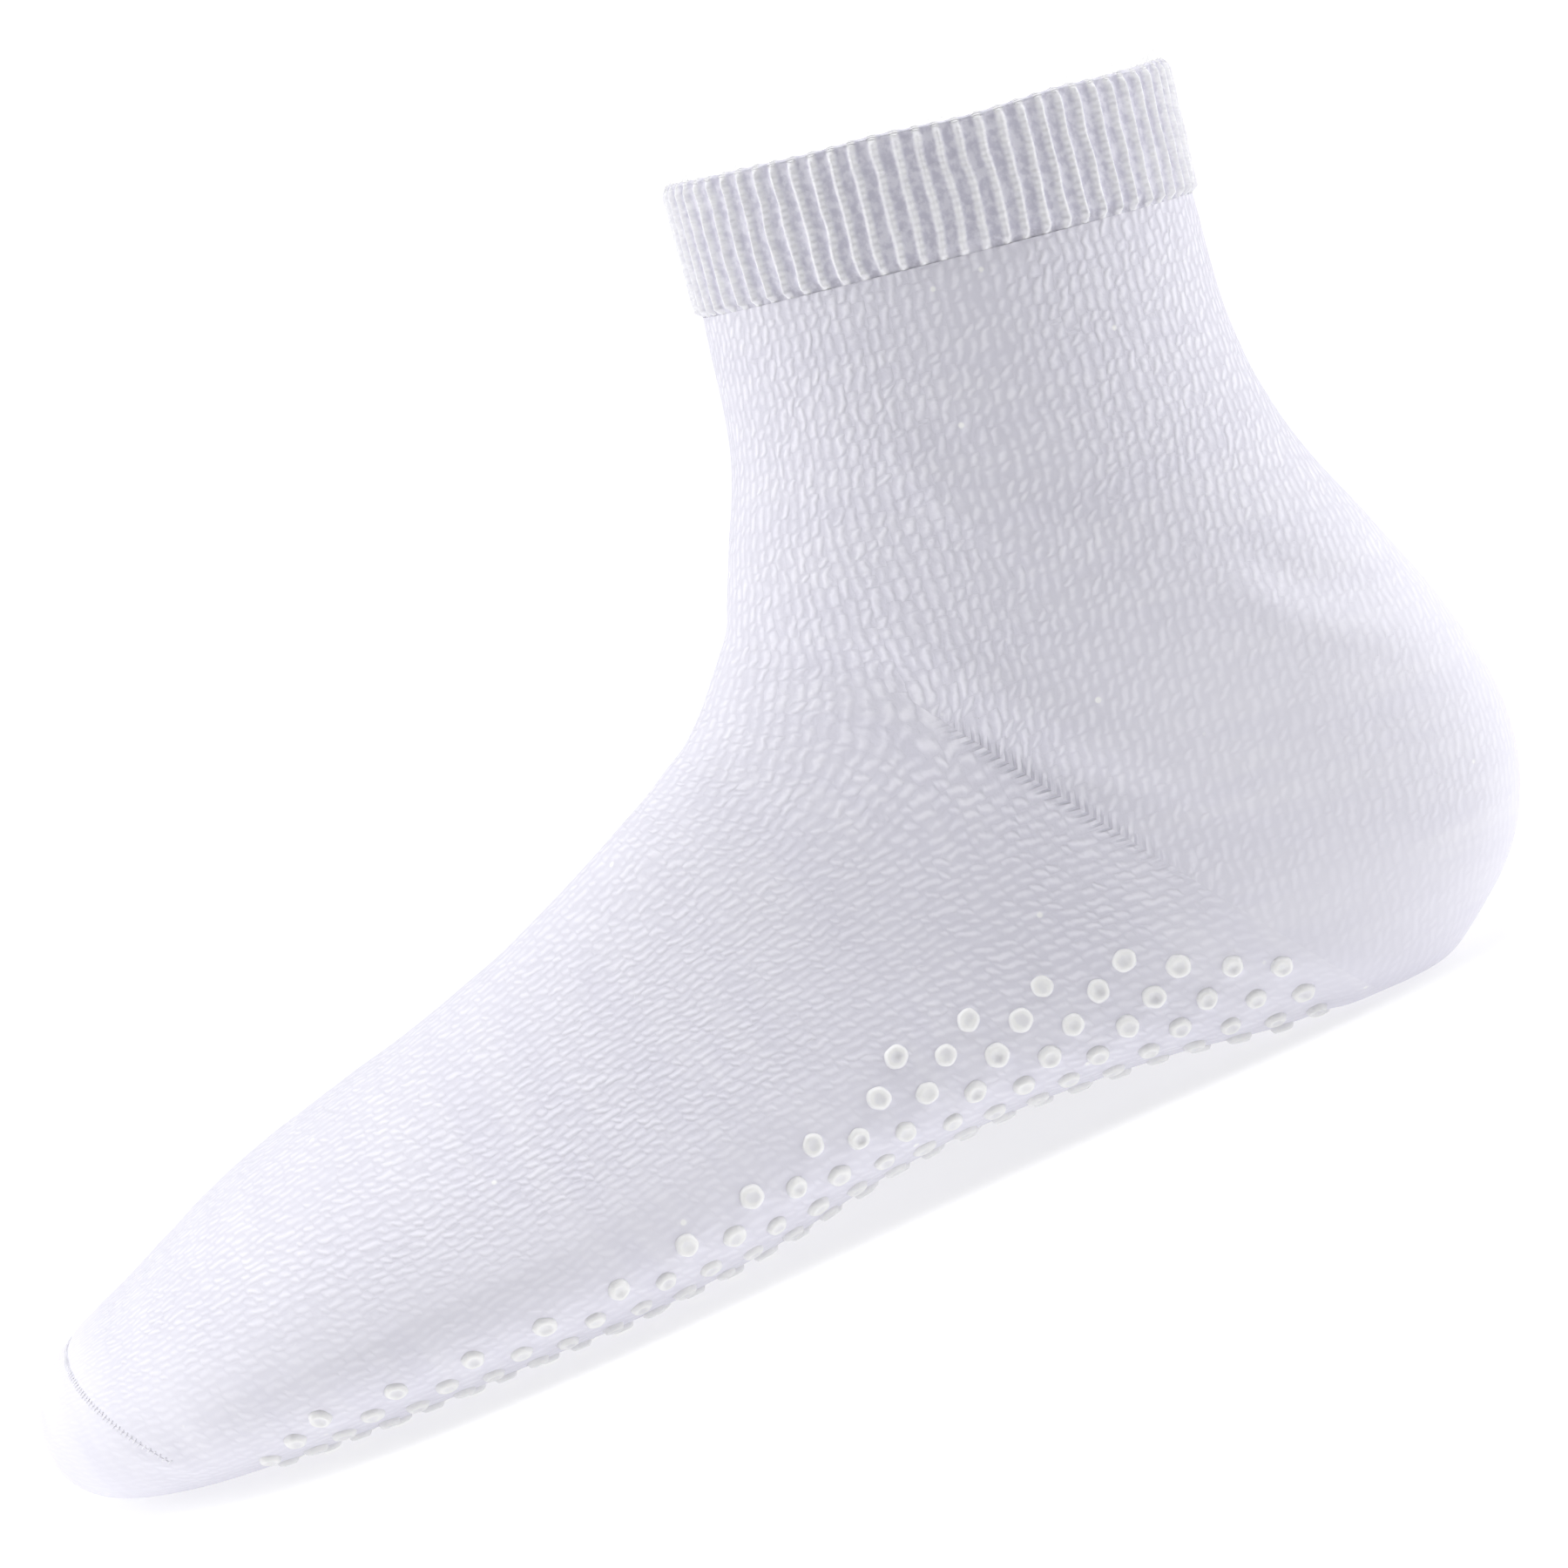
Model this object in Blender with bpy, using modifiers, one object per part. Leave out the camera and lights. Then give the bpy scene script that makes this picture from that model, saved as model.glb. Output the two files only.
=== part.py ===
"""A white cotton slipper sock with silicone grip dots, shaped to a left foot.

The sock stands unbent on its sole, with the toe toward -X, the outer side of the foot toward -Y
and the floor at z = 0. Lengths along the foot run from the back of the heel, toward the toe.

Every section of the knit lies between a point of its front line (shin, instep, top of the toes)
and a point of its back line (back of the leg, heel, sole). The sections turn round the ankle as
the courses of the knit do.
"""

import math
from collections import namedtuple

import bpy
import numpy as np
from mathutils import Vector

# Driving sizes of the sock, in metres and radians
FOOT_LENGTH = 0.245
BALL_WIDTH = 0.092
HEEL_WIDTH = 0.0625
ANKLE_WIDTH = 0.067
LEG_WIDTH = 0.061
LEG_DEPTH = 0.074
INSTEP_HEIGHT = 0.061
ANKLE_HEIGHT = 0.088
ANKLE_MIDDLE_ALONG = 0.057
ANKLE_MIDDLE_UP = 0.075
LEG_LENGTH = 0.067
LEG_LEAN = math.radians(9)
ARCH_HEIGHT = 0.0053
TOE_SPRING = 0.0124
SOLE_SQUASH = 0.0015

# Walls and clearances
KNIT_WALL = 0.00135
CUFF_WALL = 0.0013
CLEARANCE = 0.0003

# The rib cuff
CUFF_HEIGHT = 0.019
CUFF_STEP = 0.0002
RIB_COUNT = 72
RIB_HEIGHT = 0.0009

# The silicone print
DOT_WIDTH = 0.0034
DOT_TOP_WIDTH = 0.0025
DOT_HEIGHT = 0.0008
DOT_ROOT = 0.0008
DOT_SIDES = 4
DOT_PITCH = 0.0067
PRINT_START = 0.043
PRINT_BEHIND_TOE = 0.036
PRINT_REACH = 0.043
PRINT_STRETCH = 0.3
PRINT_CORNER = 0.013
PRINT_LEAN = math.radians(16)
HEEL_PAD_END = 0.038

# The linked seam over the toes
SEAM_BEHIND_TOE = 0.0235
SEAM_SLOPE = math.radians(45)
SEAM_END_UP = 0.0095
SEAM_RADIUS = 0.0005
SEAM_POINTS = 19

# How finely the smooth form is faceted
BODY_COLUMNS = 28
RINGS_BETWEEN_ROWS = (0.5, 1.5, 12.5, 13.5, 14.5, 15.5)
CUFF_RINGS = 2
FINE_RINGS = 260
FINE_COLUMNS = 240
ARC_STEPS = 720

Section = namedtuple(
    "Section",
    "front_along front_up back_along back_up width shift crest inner_arch widest front_square back_square",
)

# Leg sections: rise is a share of LEG_LENGTH, depth of LEG_DEPTH and width of LEG_WIDTH
LegRow = namedtuple("LegRow", "rise depth width")
LEG_ROWS = (
    LegRow(0.42, 1.020, 1.045),
    LegRow(0.70, 0.990, 1.005),
    LegRow(1.00, 1.000, 1.000),
)

# Sections round the ankle and heel: along is a share of FOOT_LENGTH and up of ANKLE_HEIGHT,
# and heel_part goes from the ankle's width to the heel's
TurnRow = namedtuple(
    "TurnRow", "front_along front_up back_along back_up heel_part widest back_square"
)
TURN_ROWS = (
    TurnRow(0.392, 1.080, 0.0550, 0.910, 0.00, 0.50, 2.20),
    TurnRow(0.410, 0.977, 0.0325, 0.727, 0.00, 0.49, 2.30),
    TurnRow(0.429, 0.903, 0.0115, 0.557, 0.15, 0.47, 2.40),
    TurnRow(0.447, 0.852, 0.0005, 0.398, 0.40, 0.45, 2.50),
    TurnRow(0.465, 0.813, 0.0065, 0.250, 0.65, 0.43, 2.55),
    TurnRow(0.482, 0.784, 0.0300, 0.131, 0.85, 0.42, 2.60),
    TurnRow(0.498, 0.759, 0.0690, 0.041, 1.00, 0.41, 2.65),
    TurnRow(0.509, 0.744, 0.0980, 0.005, 1.00, 0.40, 2.70),
    TurnRow(0.523, 0.726, 0.1480, 0.000, 1.00, 0.40, 2.70),
)

# Foot sections: along is a share of FOOT_LENGTH, top_up of INSTEP_HEIGHT, arch and inner_arch of
# ARCH_HEIGHT, spring of TOE_SPRING, and width, shift and crest of BALL_WIDTH, both toward the big toe
FootRow = namedtuple(
    "FootRow", "top_along top_up sole_along arch spring width shift crest inner_arch widest"
)
FOOT_ROWS = (
    FootRow(0.547, 1.000, 0.196, 0.12, 0.00, 0.695, 0.000, 0.02, 0.20, 0.39),
    FootRow(0.580, 0.943, 0.261, 0.64, 0.00, 0.707, -0.009, 0.03, 1.00, 0.38),
    FootRow(0.616, 0.885, 0.347, 0.98, 0.00, 0.740, -0.017, 0.04, 1.70, 0.37),
    FootRow(0.657, 0.830, 0.433, 0.89, 0.00, 0.810, -0.020, 0.06, 1.50, 0.37),
    FootRow(0.698, 0.780, 0.514, 0.34, 0.00, 0.895, -0.015, 0.07, 0.70, 0.38),
    FootRow(0.739, 0.738, 0.596, 0.04, 0.00, 0.968, -0.007, 0.08, 0.10, 0.39),
    FootRow(0.776, 0.700, 0.673, 0.00, 0.00, 1.000, 0.005, 0.08, 0.00, 0.40),
    FootRow(0.816, 0.652, 0.747, 0.00, 0.00, 0.993, 0.017, 0.08, 0.00, 0.41),
    FootRow(0.853, 0.597, 0.808, 0.00, 0.00, 0.946, 0.035, 0.07, 0.00, 0.42),
    FootRow(0.886, 0.541, 0.857, 0.00, 0.00, 0.870, 0.054, 0.06, 0.00, 0.43),
    FootRow(0.914, 0.490, 0.898, 0.00, 0.00, 0.772, 0.082, 0.05, 0.00, 0.44),
    FootRow(0.943, 0.441, 0.937, 0.00, 0.06, 0.652, 0.109, 0.03, 0.00, 0.45),
    FootRow(0.967, 0.392, 0.965, 0.00, 0.18, 0.522, 0.130, 0.02, 0.00, 0.46),
    FootRow(0.986, 0.338, 0.986, 0.00, 0.40, 0.359, 0.147, 0.01, 0.00, 0.47),
    FootRow(0.997, 0.279, 0.997, 0.00, 0.70, 0.185, 0.158, 0.00, 0.00, 0.48),
)
TOE_TIP = FootRow(1.000, 0.203, 1.000, 0.00, 1.00, 0.000, 0.158, 0.00, 0.00, 0.50)
LEG_SQUARE = 2.1
TOP_SQUARE = 2.0
SOLE_SQUARE = 2.75


def clear_scene():
    for thing in list(bpy.data.objects):
        bpy.data.objects.remove(thing, do_unlink=True)


def leg_section(rise):
    """The level section of the leg at a distance above the ankle's middle, along the leg."""
    rises = [row.rise * LEG_LENGTH for row in LEG_ROWS]
    depth = LEG_DEPTH * np.interp(rise, rises, [row.depth for row in LEG_ROWS])
    width = LEG_WIDTH * np.interp(rise, rises, [row.width for row in LEG_ROWS])
    middle_along = ANKLE_MIDDLE_ALONG - rise * math.sin(LEG_LEAN)
    middle_up = ANKLE_MIDDLE_UP + rise * math.cos(LEG_LEAN)
    out_along = depth / 2 * math.cos(LEG_LEAN)
    out_up = depth / 2 * math.sin(LEG_LEAN)
    return Section(
        middle_along + out_along, middle_up + out_up, middle_along - out_along, middle_up - out_up,
        width, 0, 0, 0, 0.5, LEG_SQUARE, LEG_SQUARE,
    )


def turn_section(row):
    width = ANKLE_WIDTH + row.heel_part * (HEEL_WIDTH - ANKLE_WIDTH)
    return Section(
        row.front_along * FOOT_LENGTH, row.front_up * ANKLE_HEIGHT,
        row.back_along * FOOT_LENGTH, row.back_up * ANKLE_HEIGHT,
        width, 0, 0, 0, row.widest, TOP_SQUARE, row.back_square,
    )


def foot_section(row):
    return Section(
        row.top_along * FOOT_LENGTH, row.top_up * INSTEP_HEIGHT,
        row.sole_along * FOOT_LENGTH, row.arch * ARCH_HEIGHT + row.spring * TOE_SPRING,
        row.width * BALL_WIDTH, row.shift * BALL_WIDTH, row.crest * BALL_WIDTH,
        row.inner_arch * ARCH_HEIGHT, row.widest, TOP_SQUARE, SOLE_SQUARE,
    )


def body_sections():
    """The sections of the knitted body, from under the cuff to the tip of the toe."""
    top = LEG_LENGTH - CUFF_HEIGHT - CLEARANCE
    low = LEG_ROWS[0].rise * LEG_LENGTH
    sections = [leg_section(rise) for rise in (top, low)]
    sections += [turn_section(row) for row in TURN_ROWS]
    sections += [foot_section(row) for row in FOOT_ROWS]
    sections.append(foot_section(TOE_TIP))
    return sections


def smooth_sections(sections, places):
    """Sections on smooth curves through the given ones, where each place counts the given ones."""
    table = np.array(sections, dtype=float)
    before = 2 * table[0] - table[1]
    after = 2 * table[-1] - table[-2]
    padded = np.vstack([before, table, after])
    smooth = []
    for place in places:
        start = min(int(place), len(table) - 2)
        t = place - start
        a, b, c, d = padded[start:start + 4]
        row = 0.5 * (2 * b + (c - a) * t + (2 * a - 5 * b + 4 * c - d) * t**2)
        row += 0.5 * (3 * b - a - 3 * c + d) * t**3
        smooth.append(Section(*row))
    return smooth


def middle_of_width():
    """How far the middle of the whole width lies from the heel's own middle line."""
    rows = body_sections()
    sections = smooth_sections(rows, np.linspace(0, len(rows) - 1, FINE_RINGS))
    outer = min(section.shift - section.width / 2 for section in sections)
    inner = max(section.shift + section.width / 2 for section in sections)
    return (outer + inner) / 2


def to_world(along, side, up):
    """Puts a place on the foot in the frame whose origin is under the middle of the sock."""
    return np.stack([FOOT_LENGTH / 2 - along, side - MIDDLE_SIDE, up], axis=-1)


MIDDLE_SIDE = middle_of_width()


def rest_on_floor(along, up):
    """Squashes the sole flat: the heel pad on the floor, the rest at the height of the dots."""
    softness = np.clip(1 - up / ANKLE_HEIGHT, 0, 1)
    ramp = np.clip((along - HEEL_PAD_END) / (PRINT_START - HEEL_PAD_END), 0, 1)
    level = DOT_HEIGHT * ramp * ramp * (3 - 2 * ramp)
    return np.maximum(up - (SOLE_SQUASH - level) * softness, level)


def section_ring(section, columns, proud=0.0):
    """Points evenly spaced round a section, from the back line by the outer side to the front."""
    angle = np.linspace(-math.pi / 2, 3 * math.pi / 2, ARC_STEPS + 1)
    depth = math.hypot(
        section.front_along - section.back_along, section.front_up - section.back_up
    )
    is_front = np.sin(angle) > 0
    reach = np.where(is_front, (1 - section.widest) * depth, section.widest * depth) + proud
    power = 2 / np.where(is_front, section.front_square, section.back_square)
    across = -np.sign(np.cos(angle)) * np.abs(np.cos(angle)) ** power
    forward = np.sign(np.sin(angle)) * np.abs(np.sin(angle)) ** power
    side = across * (section.width / 2 + proud) + section.shift
    side = side + section.crest * np.clip(forward, 0, 1)
    share = section.widest + forward * reach / depth if depth > 0 else forward * 0
    along = section.back_along + share * (section.front_along - section.back_along)
    up = section.back_up + share * (section.front_up - section.back_up)
    up = up + section.inner_arch * np.clip(across, 0, 1) ** 1.5 * np.clip(-forward, 0, 1)
    points = to_world(along, side, rest_on_floor(along, up))
    steps = np.linalg.norm(np.diff(points, axis=0), axis=1)
    walked = np.concatenate([[0], np.cumsum(steps)])
    places = np.arange(columns) * walked[-1] / columns
    return np.stack([np.interp(places, walked, points[:, k]) for k in range(3)], axis=-1)


def loft(name, rings, tip=None):
    """An open surface through closed rings of points, closed at the end by a tip if one is given."""
    columns = len(rings[0])
    corners = [tuple(point) for ring in rings for point in ring]
    faces = []
    for ring in range(len(rings) - 1):
        for column in range(columns):
            after = (column + 1) % columns
            first, second = ring * columns, (ring + 1) * columns
            faces.append((first + column, first + after, second + after, second + column))
    if tip is not None:
        corners.append(tuple(tip))
        last = (len(rings) - 1) * columns
        for column in range(columns):
            faces.append((last + column, last + (column + 1) % columns, len(corners) - 1))
    mesh = bpy.data.meshes.new(name)
    mesh.from_pydata(corners, [], faces)
    mesh.update()
    mesh.shade_smooth()
    return bpy.data.objects.new(name, mesh)


def body_rings():
    """The rings of corners of the knitted body, from under the cuff to the tip of the toe."""
    rows = body_sections()
    places = sorted([*range(len(rows)), *RINGS_BETWEEN_ROWS])
    return np.array([section_ring(row, BODY_COLUMNS) for row in smooth_sections(rows, places)])


def fine_surface(rings):
    """The facets between the rings as a fine grid of points, for what is laid on them."""
    lengthwise = np.linspace(0, len(rings) - 1, FINE_RINGS)
    before = np.minimum(lengthwise.astype(int), len(rings) - 2)
    share = (lengthwise - before)[:, None, None]
    lines = rings[before] * (1 - share) + rings[before + 1] * share
    around = np.arange(FINE_COLUMNS) * BODY_COLUMNS / FINE_COLUMNS
    before = around.astype(int)
    share = (around - before)[None, :, None]
    return lines[:, before] * (1 - share) + lines[:, (before + 1) % BODY_COLUMNS] * share


def cut_across(grid, along, slope):
    """The line round the form in a plane that leans forward, from the sole's middle, with normals."""
    lean = FOOT_LENGTH / 2 - grid[:, :, 0] - grid[:, :, 2] * math.tan(slope) - along
    round_about = np.roll(grid, -1, axis=1) - np.roll(grid, 1, axis=1)
    forward = np.gradient(grid, axis=0)
    normals = np.cross(round_about, forward)
    normals /= np.maximum(np.linalg.norm(normals, axis=2, keepdims=True), 1e-12)
    line, outward = [], []
    for column in range(grid.shape[1]):
        crossed = np.nonzero(lean[:-1, column] < 0)[0]
        behind = crossed[-1] if len(crossed) else 0
        share = lean[behind, column] / (lean[behind, column] - lean[behind + 1, column])
        share = min(max(share, 0), 1)
        line.append(grid[behind, column] * (1 - share) + grid[behind + 1, column] * share)
        outward.append(normals[behind, column])
    return np.array(line), np.array(outward)


def side_walk(line, outward, side):
    """One half of a line round the form, from the sole's middle, with the distance walked."""
    half = len(line) // 2
    order = np.arange(0, side * half, side) % len(line)
    steps = np.linalg.norm(np.diff(line[order], axis=0), axis=1)
    return line[order], outward[order], np.concatenate([[0], np.cumsum(steps)])


def dot_places(grid):
    """Where each grip dot sits: its middle and the way that it faces.

    The print is staggered rows across the sole, which widen with the foot as the knit stretches.
    """
    row_step = DOT_PITCH * math.sqrt(3) / 2
    print_end = FOOT_LENGTH - PRINT_BEHIND_TOE
    rows = int((print_end - PRINT_START) / row_step) + 1
    places = []
    for row in range(rows):
        along = PRINT_START + row * row_step
        line, outward = cut_across(grid, along, PRINT_LEAN)
        widening = np.ptp(line[:, 1]) / HEEL_WIDTH - 1
        stretch = 1 + PRINT_STRETCH * max(widening, 0)
        from_end = min(along - PRINT_START, print_end - along)
        reach = PRINT_REACH - max(0, PRINT_CORNER - from_end) / math.sqrt(3)
        offset = DOT_PITCH / 2 * (row % 2)
        for side in (1, -1):
            points, facings, walked = side_walk(line, outward, side)
            for number in range(int((reach - offset) / DOT_PITCH) + 1):
                if side < 0 and offset == 0 and number == 0:
                    continue
                spot = (number * DOT_PITCH + offset) * stretch
                point = [np.interp(spot, walked, points[:, k]) for k in range(3)]
                facing = [np.interp(spot, walked, facings[:, k]) for k in range(3)]
                places.append((Vector(point), Vector(facing).normalized()))
    return places


def grip_dots(places):
    """All the dots as one mesh of low blunt studs, with their roots inside the knit.

    A stud has few sides, and as much area as the round dot.
    """
    corner_reach = math.sqrt(2 * math.pi / (DOT_SIDES * math.sin(2 * math.pi / DOT_SIDES)))
    corners, faces = [], []
    for middle, facing in places:
        across = facing.cross(Vector((1, 0, 0))).normalized()
        lengthwise = across.cross(facing)
        first = len(corners)
        for level, width in ((-DOT_ROOT, DOT_WIDTH), (DOT_HEIGHT, DOT_TOP_WIDTH)):
            for side in range(DOT_SIDES):
                turn = 2 * math.pi * (side + 0.5) / DOT_SIDES
                spoke = lengthwise * math.cos(turn) + across * math.sin(turn)
                corner = middle + facing * level + spoke * corner_reach * width / 2
                corner.z = max(corner.z, 0)
                corners.append(corner)
        faces.append(tuple(first + side for side in reversed(range(DOT_SIDES))))
        faces.append(tuple(first + DOT_SIDES + side for side in range(DOT_SIDES)))
        for side in range(DOT_SIDES):
            after = (side + 1) % DOT_SIDES
            low, high = first, first + DOT_SIDES
            faces.append((low + side, low + after, high + after, high + side))
    mesh = bpy.data.meshes.new("grip_dot_studs")
    mesh.from_pydata([tuple(corner) for corner in corners], [], faces)
    mesh.update()
    return bpy.data.objects.new("grip_dot_studs", mesh)


def thicken(thing, wall):
    solid = thing.modifiers.new("wall", "SOLIDIFY")
    solid.thickness = wall
    solid.offset = -1
    solid.use_even_offset = True


def make_body(rings, grid, cutters):
    body = loft("knit_body", rings[:-1], tip=rings[-1][0])
    thicken(body, KNIT_WALL)
    studs = grip_dots(dot_places(grid))
    studs.hide_render = True
    studs.display_type = "WIRE"
    cutters.objects.link(studs)
    join = body.modifiers.new("grip_dots", "BOOLEAN")
    join.operation = "UNION"
    join.solver = "EXACT"
    join.object = studs
    return body


def make_cuff():
    """A zigzag wall: each rib is a ridge outside and a furrow inside."""
    rings = []
    for rise in np.linspace(LEG_LENGTH, LEG_LENGTH - CUFF_HEIGHT, CUFF_RINGS):
        furrow = section_ring(leg_section(rise), 2 * RIB_COUNT, CUFF_STEP)
        ridge = section_ring(leg_section(rise), 2 * RIB_COUNT, CUFF_STEP + RIB_HEIGHT)
        is_ridge = (np.arange(2 * RIB_COUNT) % 2 == 0)[:, None]
        rings.append(np.where(is_ridge, ridge, furrow))
    cuff = loft("rib_cuff", rings)
    thicken(cuff, CUFF_WALL)
    return cuff


def make_toe_seam(grid):
    """A thin cord of linked loops, over the front of the toes from side to side."""
    along = FOOT_LENGTH - SEAM_BEHIND_TOE - SEAM_END_UP * math.tan(SEAM_SLOPE)
    line, outward = cut_across(grid, along, SEAM_SLOPE)
    line = line + outward * (SEAM_RADIUS + CLEARANCE)
    over = line[line[:, 2] > SEAM_END_UP]
    steps = np.linalg.norm(np.diff(over, axis=0), axis=1)
    walked = np.concatenate([[0], np.cumsum(steps)])
    places = np.linspace(0, walked[-1], SEAM_POINTS)
    curve = bpy.data.curves.new("toe_seam", "CURVE")
    curve.dimensions = "3D"
    curve.bevel_depth = SEAM_RADIUS
    curve.bevel_resolution = 0
    curve.use_fill_caps = True
    spline = curve.splines.new("POLY")
    spline.points.add(SEAM_POINTS - 1)
    for point, place in zip(spline.points, places):
        point.co = [*(np.interp(place, walked, over[:, k]) for k in range(3)), 1]
    return bpy.data.objects.new("toe_seam", curve)


def finish(thing, colour, roughness, collection):
    material = bpy.data.materials.new(thing.name)
    material.use_nodes = True
    shader = material.node_tree.nodes["Principled BSDF"]
    shader.inputs["Base Color"].default_value = (*colour, 1)
    shader.inputs["Roughness"].default_value = roughness
    shader.inputs["Metallic"].default_value = 0
    thing.data.materials.append(material)
    collection.objects.link(thing)


def build():
    clear_scene()
    sock = bpy.data.collections.new("slipper_sock")
    cutters = bpy.data.collections.new("cutters")
    bpy.context.scene.collection.children.link(sock)
    bpy.context.scene.collection.children.link(cutters)
    rings = body_rings()
    grid = fine_surface(rings)
    finish(make_body(rings, grid, cutters), (0.86, 0.86, 0.90), 0.95, sock)
    finish(make_cuff(), (0.88, 0.88, 0.92), 0.95, sock)
    finish(make_toe_seam(grid), (0.80, 0.80, 0.84), 0.95, sock)


build()
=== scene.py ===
"""A white cotton slipper sock with silicone grip dots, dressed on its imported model.

The sock stands unbent on its sole: toe toward -X, outer side of the left foot toward -Y, floor at
z = 0. Lengths along the foot run from the back of the heel toward the toe, in metres.
"""

import math

import bpy
import numpy as np
from mathutils import Matrix, Vector, noise


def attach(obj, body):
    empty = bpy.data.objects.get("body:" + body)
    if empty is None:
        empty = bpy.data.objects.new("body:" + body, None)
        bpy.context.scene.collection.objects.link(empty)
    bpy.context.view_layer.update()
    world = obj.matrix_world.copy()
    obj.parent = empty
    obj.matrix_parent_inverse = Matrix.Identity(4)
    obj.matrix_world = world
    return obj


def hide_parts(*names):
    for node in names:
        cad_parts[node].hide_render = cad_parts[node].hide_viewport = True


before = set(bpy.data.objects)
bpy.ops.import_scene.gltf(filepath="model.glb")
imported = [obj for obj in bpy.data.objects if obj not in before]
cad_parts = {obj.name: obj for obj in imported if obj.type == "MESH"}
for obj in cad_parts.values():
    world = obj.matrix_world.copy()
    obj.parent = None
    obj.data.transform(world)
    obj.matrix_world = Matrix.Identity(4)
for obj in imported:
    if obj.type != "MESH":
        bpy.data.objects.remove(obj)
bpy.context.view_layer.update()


# Knitted body: one fine circular-knitted tube of white cotton, leg, heel pocket, foot and toe in
# one. The heel's short rows meet the foot along a slanted suture line on each side. The outside
# is laid in rings and columns, as the courses and wales of the knit run.

FOOT_LENGTH = 0.245
BALL_WIDTH = 0.092
HEEL_WIDTH = 0.0625
ANKLE_WIDTH = 0.067
LEG_WIDTH = 0.061
LEG_DEPTH = 0.074
INSTEP_HEIGHT = 0.061
ANKLE_HEIGHT = 0.088
ANKLE_MIDDLE = (0.057, 0.075)
LEG_LENGTH = 0.067
LEG_LEAN = math.radians(9)
ARCH_HEIGHT = 0.0053
TOE_SPRING = 0.0124
SOLE_SQUASH = 0.0015
KNIT_WALL = 0.00135
CUFF_HEIGHT = 0.019
HEEL_PAD_END = 0.038
PRINT_START = 0.043
DOT_HEIGHT = 0.0008
BODY_RINGS = 320
BODY_COLUMNS = 288
WALES = 120
COURSE_STEP = 0.00105
ARC_POINTS = 1081
FINE_PLACES = 2001
WIDTH_PLACES = 260
LEG_SQUARE = 2.1
TOP_SQUARE = 2.0
SOLE_SQUARE = 2.75

# rise above the ankle's middle along the leg, depth and width, as shares of the leg's sizes
LEG_ROWS = ((0.42, 1.020, 1.045), (0.70, 0.990, 1.005), (1.00, 1.000, 1.000))

# front line along and up, back line along and up, part of the way from ankle's width to heel's,
# share of the depth where it is widest, squareness of the back
TURN_ROWS = (
    (0.392, 1.080, 0.0550, 0.910, 0.00, 0.50, 2.20),
    (0.410, 0.977, 0.0325, 0.727, 0.00, 0.49, 2.30),
    (0.429, 0.903, 0.0115, 0.557, 0.15, 0.47, 2.40),
    (0.447, 0.852, 0.0005, 0.398, 0.40, 0.45, 2.50),
    (0.465, 0.813, 0.0065, 0.250, 0.65, 0.43, 2.55),
    (0.482, 0.784, 0.0300, 0.131, 0.85, 0.42, 2.60),
    (0.498, 0.759, 0.0690, 0.041, 1.00, 0.41, 2.65),
    (0.509, 0.744, 0.0980, 0.005, 1.00, 0.40, 2.70),
    (0.523, 0.726, 0.1480, 0.000, 1.00, 0.40, 2.70),
)

# top along and up, sole along, arch, toe spring, width, shift and crest toward the big toe,
# arch at the inner edge, share of the depth where it is widest
FOOT_ROWS = (
    (0.547, 1.000, 0.196, 0.12, 0.00, 0.695, 0.000, 0.02, 0.20, 0.39),
    (0.580, 0.943, 0.261, 0.64, 0.00, 0.707, -0.009, 0.03, 1.00, 0.38),
    (0.616, 0.885, 0.347, 0.98, 0.00, 0.740, -0.017, 0.04, 1.70, 0.37),
    (0.657, 0.830, 0.433, 0.89, 0.00, 0.810, -0.020, 0.06, 1.50, 0.37),
    (0.698, 0.780, 0.514, 0.34, 0.00, 0.895, -0.015, 0.07, 0.70, 0.38),
    (0.739, 0.738, 0.596, 0.04, 0.00, 0.968, -0.007, 0.08, 0.10, 0.39),
    (0.776, 0.700, 0.673, 0.00, 0.00, 1.000, 0.005, 0.08, 0.00, 0.40),
    (0.816, 0.652, 0.747, 0.00, 0.00, 0.993, 0.017, 0.08, 0.00, 0.41),
    (0.853, 0.597, 0.808, 0.00, 0.00, 0.946, 0.035, 0.07, 0.00, 0.42),
    (0.886, 0.541, 0.857, 0.00, 0.00, 0.870, 0.054, 0.06, 0.00, 0.43),
    (0.914, 0.490, 0.898, 0.00, 0.00, 0.772, 0.082, 0.05, 0.00, 0.44),
    (0.943, 0.441, 0.937, 0.00, 0.06, 0.652, 0.109, 0.03, 0.00, 0.45),
    (0.967, 0.392, 0.965, 0.00, 0.18, 0.522, 0.130, 0.02, 0.00, 0.46),
    (0.986, 0.338, 0.986, 0.00, 0.40, 0.359, 0.147, 0.01, 0.00, 0.47),
    (0.997, 0.279, 0.997, 0.00, 0.70, 0.185, 0.158, 0.00, 0.00, 0.48),
    (1.000, 0.203, 1.000, 0.00, 1.00, 0.000, 0.158, 0.00, 0.00, 0.50),
)


def leg_section(rise):
    """One level section of the leg, in the order that ring_of_points reads."""
    rises, depths, widths = zip(*LEG_ROWS)
    depth = LEG_DEPTH * np.interp(rise / LEG_LENGTH, rises, depths)
    width = LEG_WIDTH * np.interp(rise / LEG_LENGTH, rises, widths)
    along = ANKLE_MIDDLE[0] - rise * math.sin(LEG_LEAN)
    up = ANKLE_MIDDLE[1] + rise * math.cos(LEG_LEAN)
    out = depth / 2 * math.cos(LEG_LEAN)
    rising = depth / 2 * math.sin(LEG_LEAN)
    lines = (along + out, up + rising, along - out, up - rising)
    return (*lines, width, 0, 0, 0, 0.5, LEG_SQUARE, LEG_SQUARE)


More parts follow.
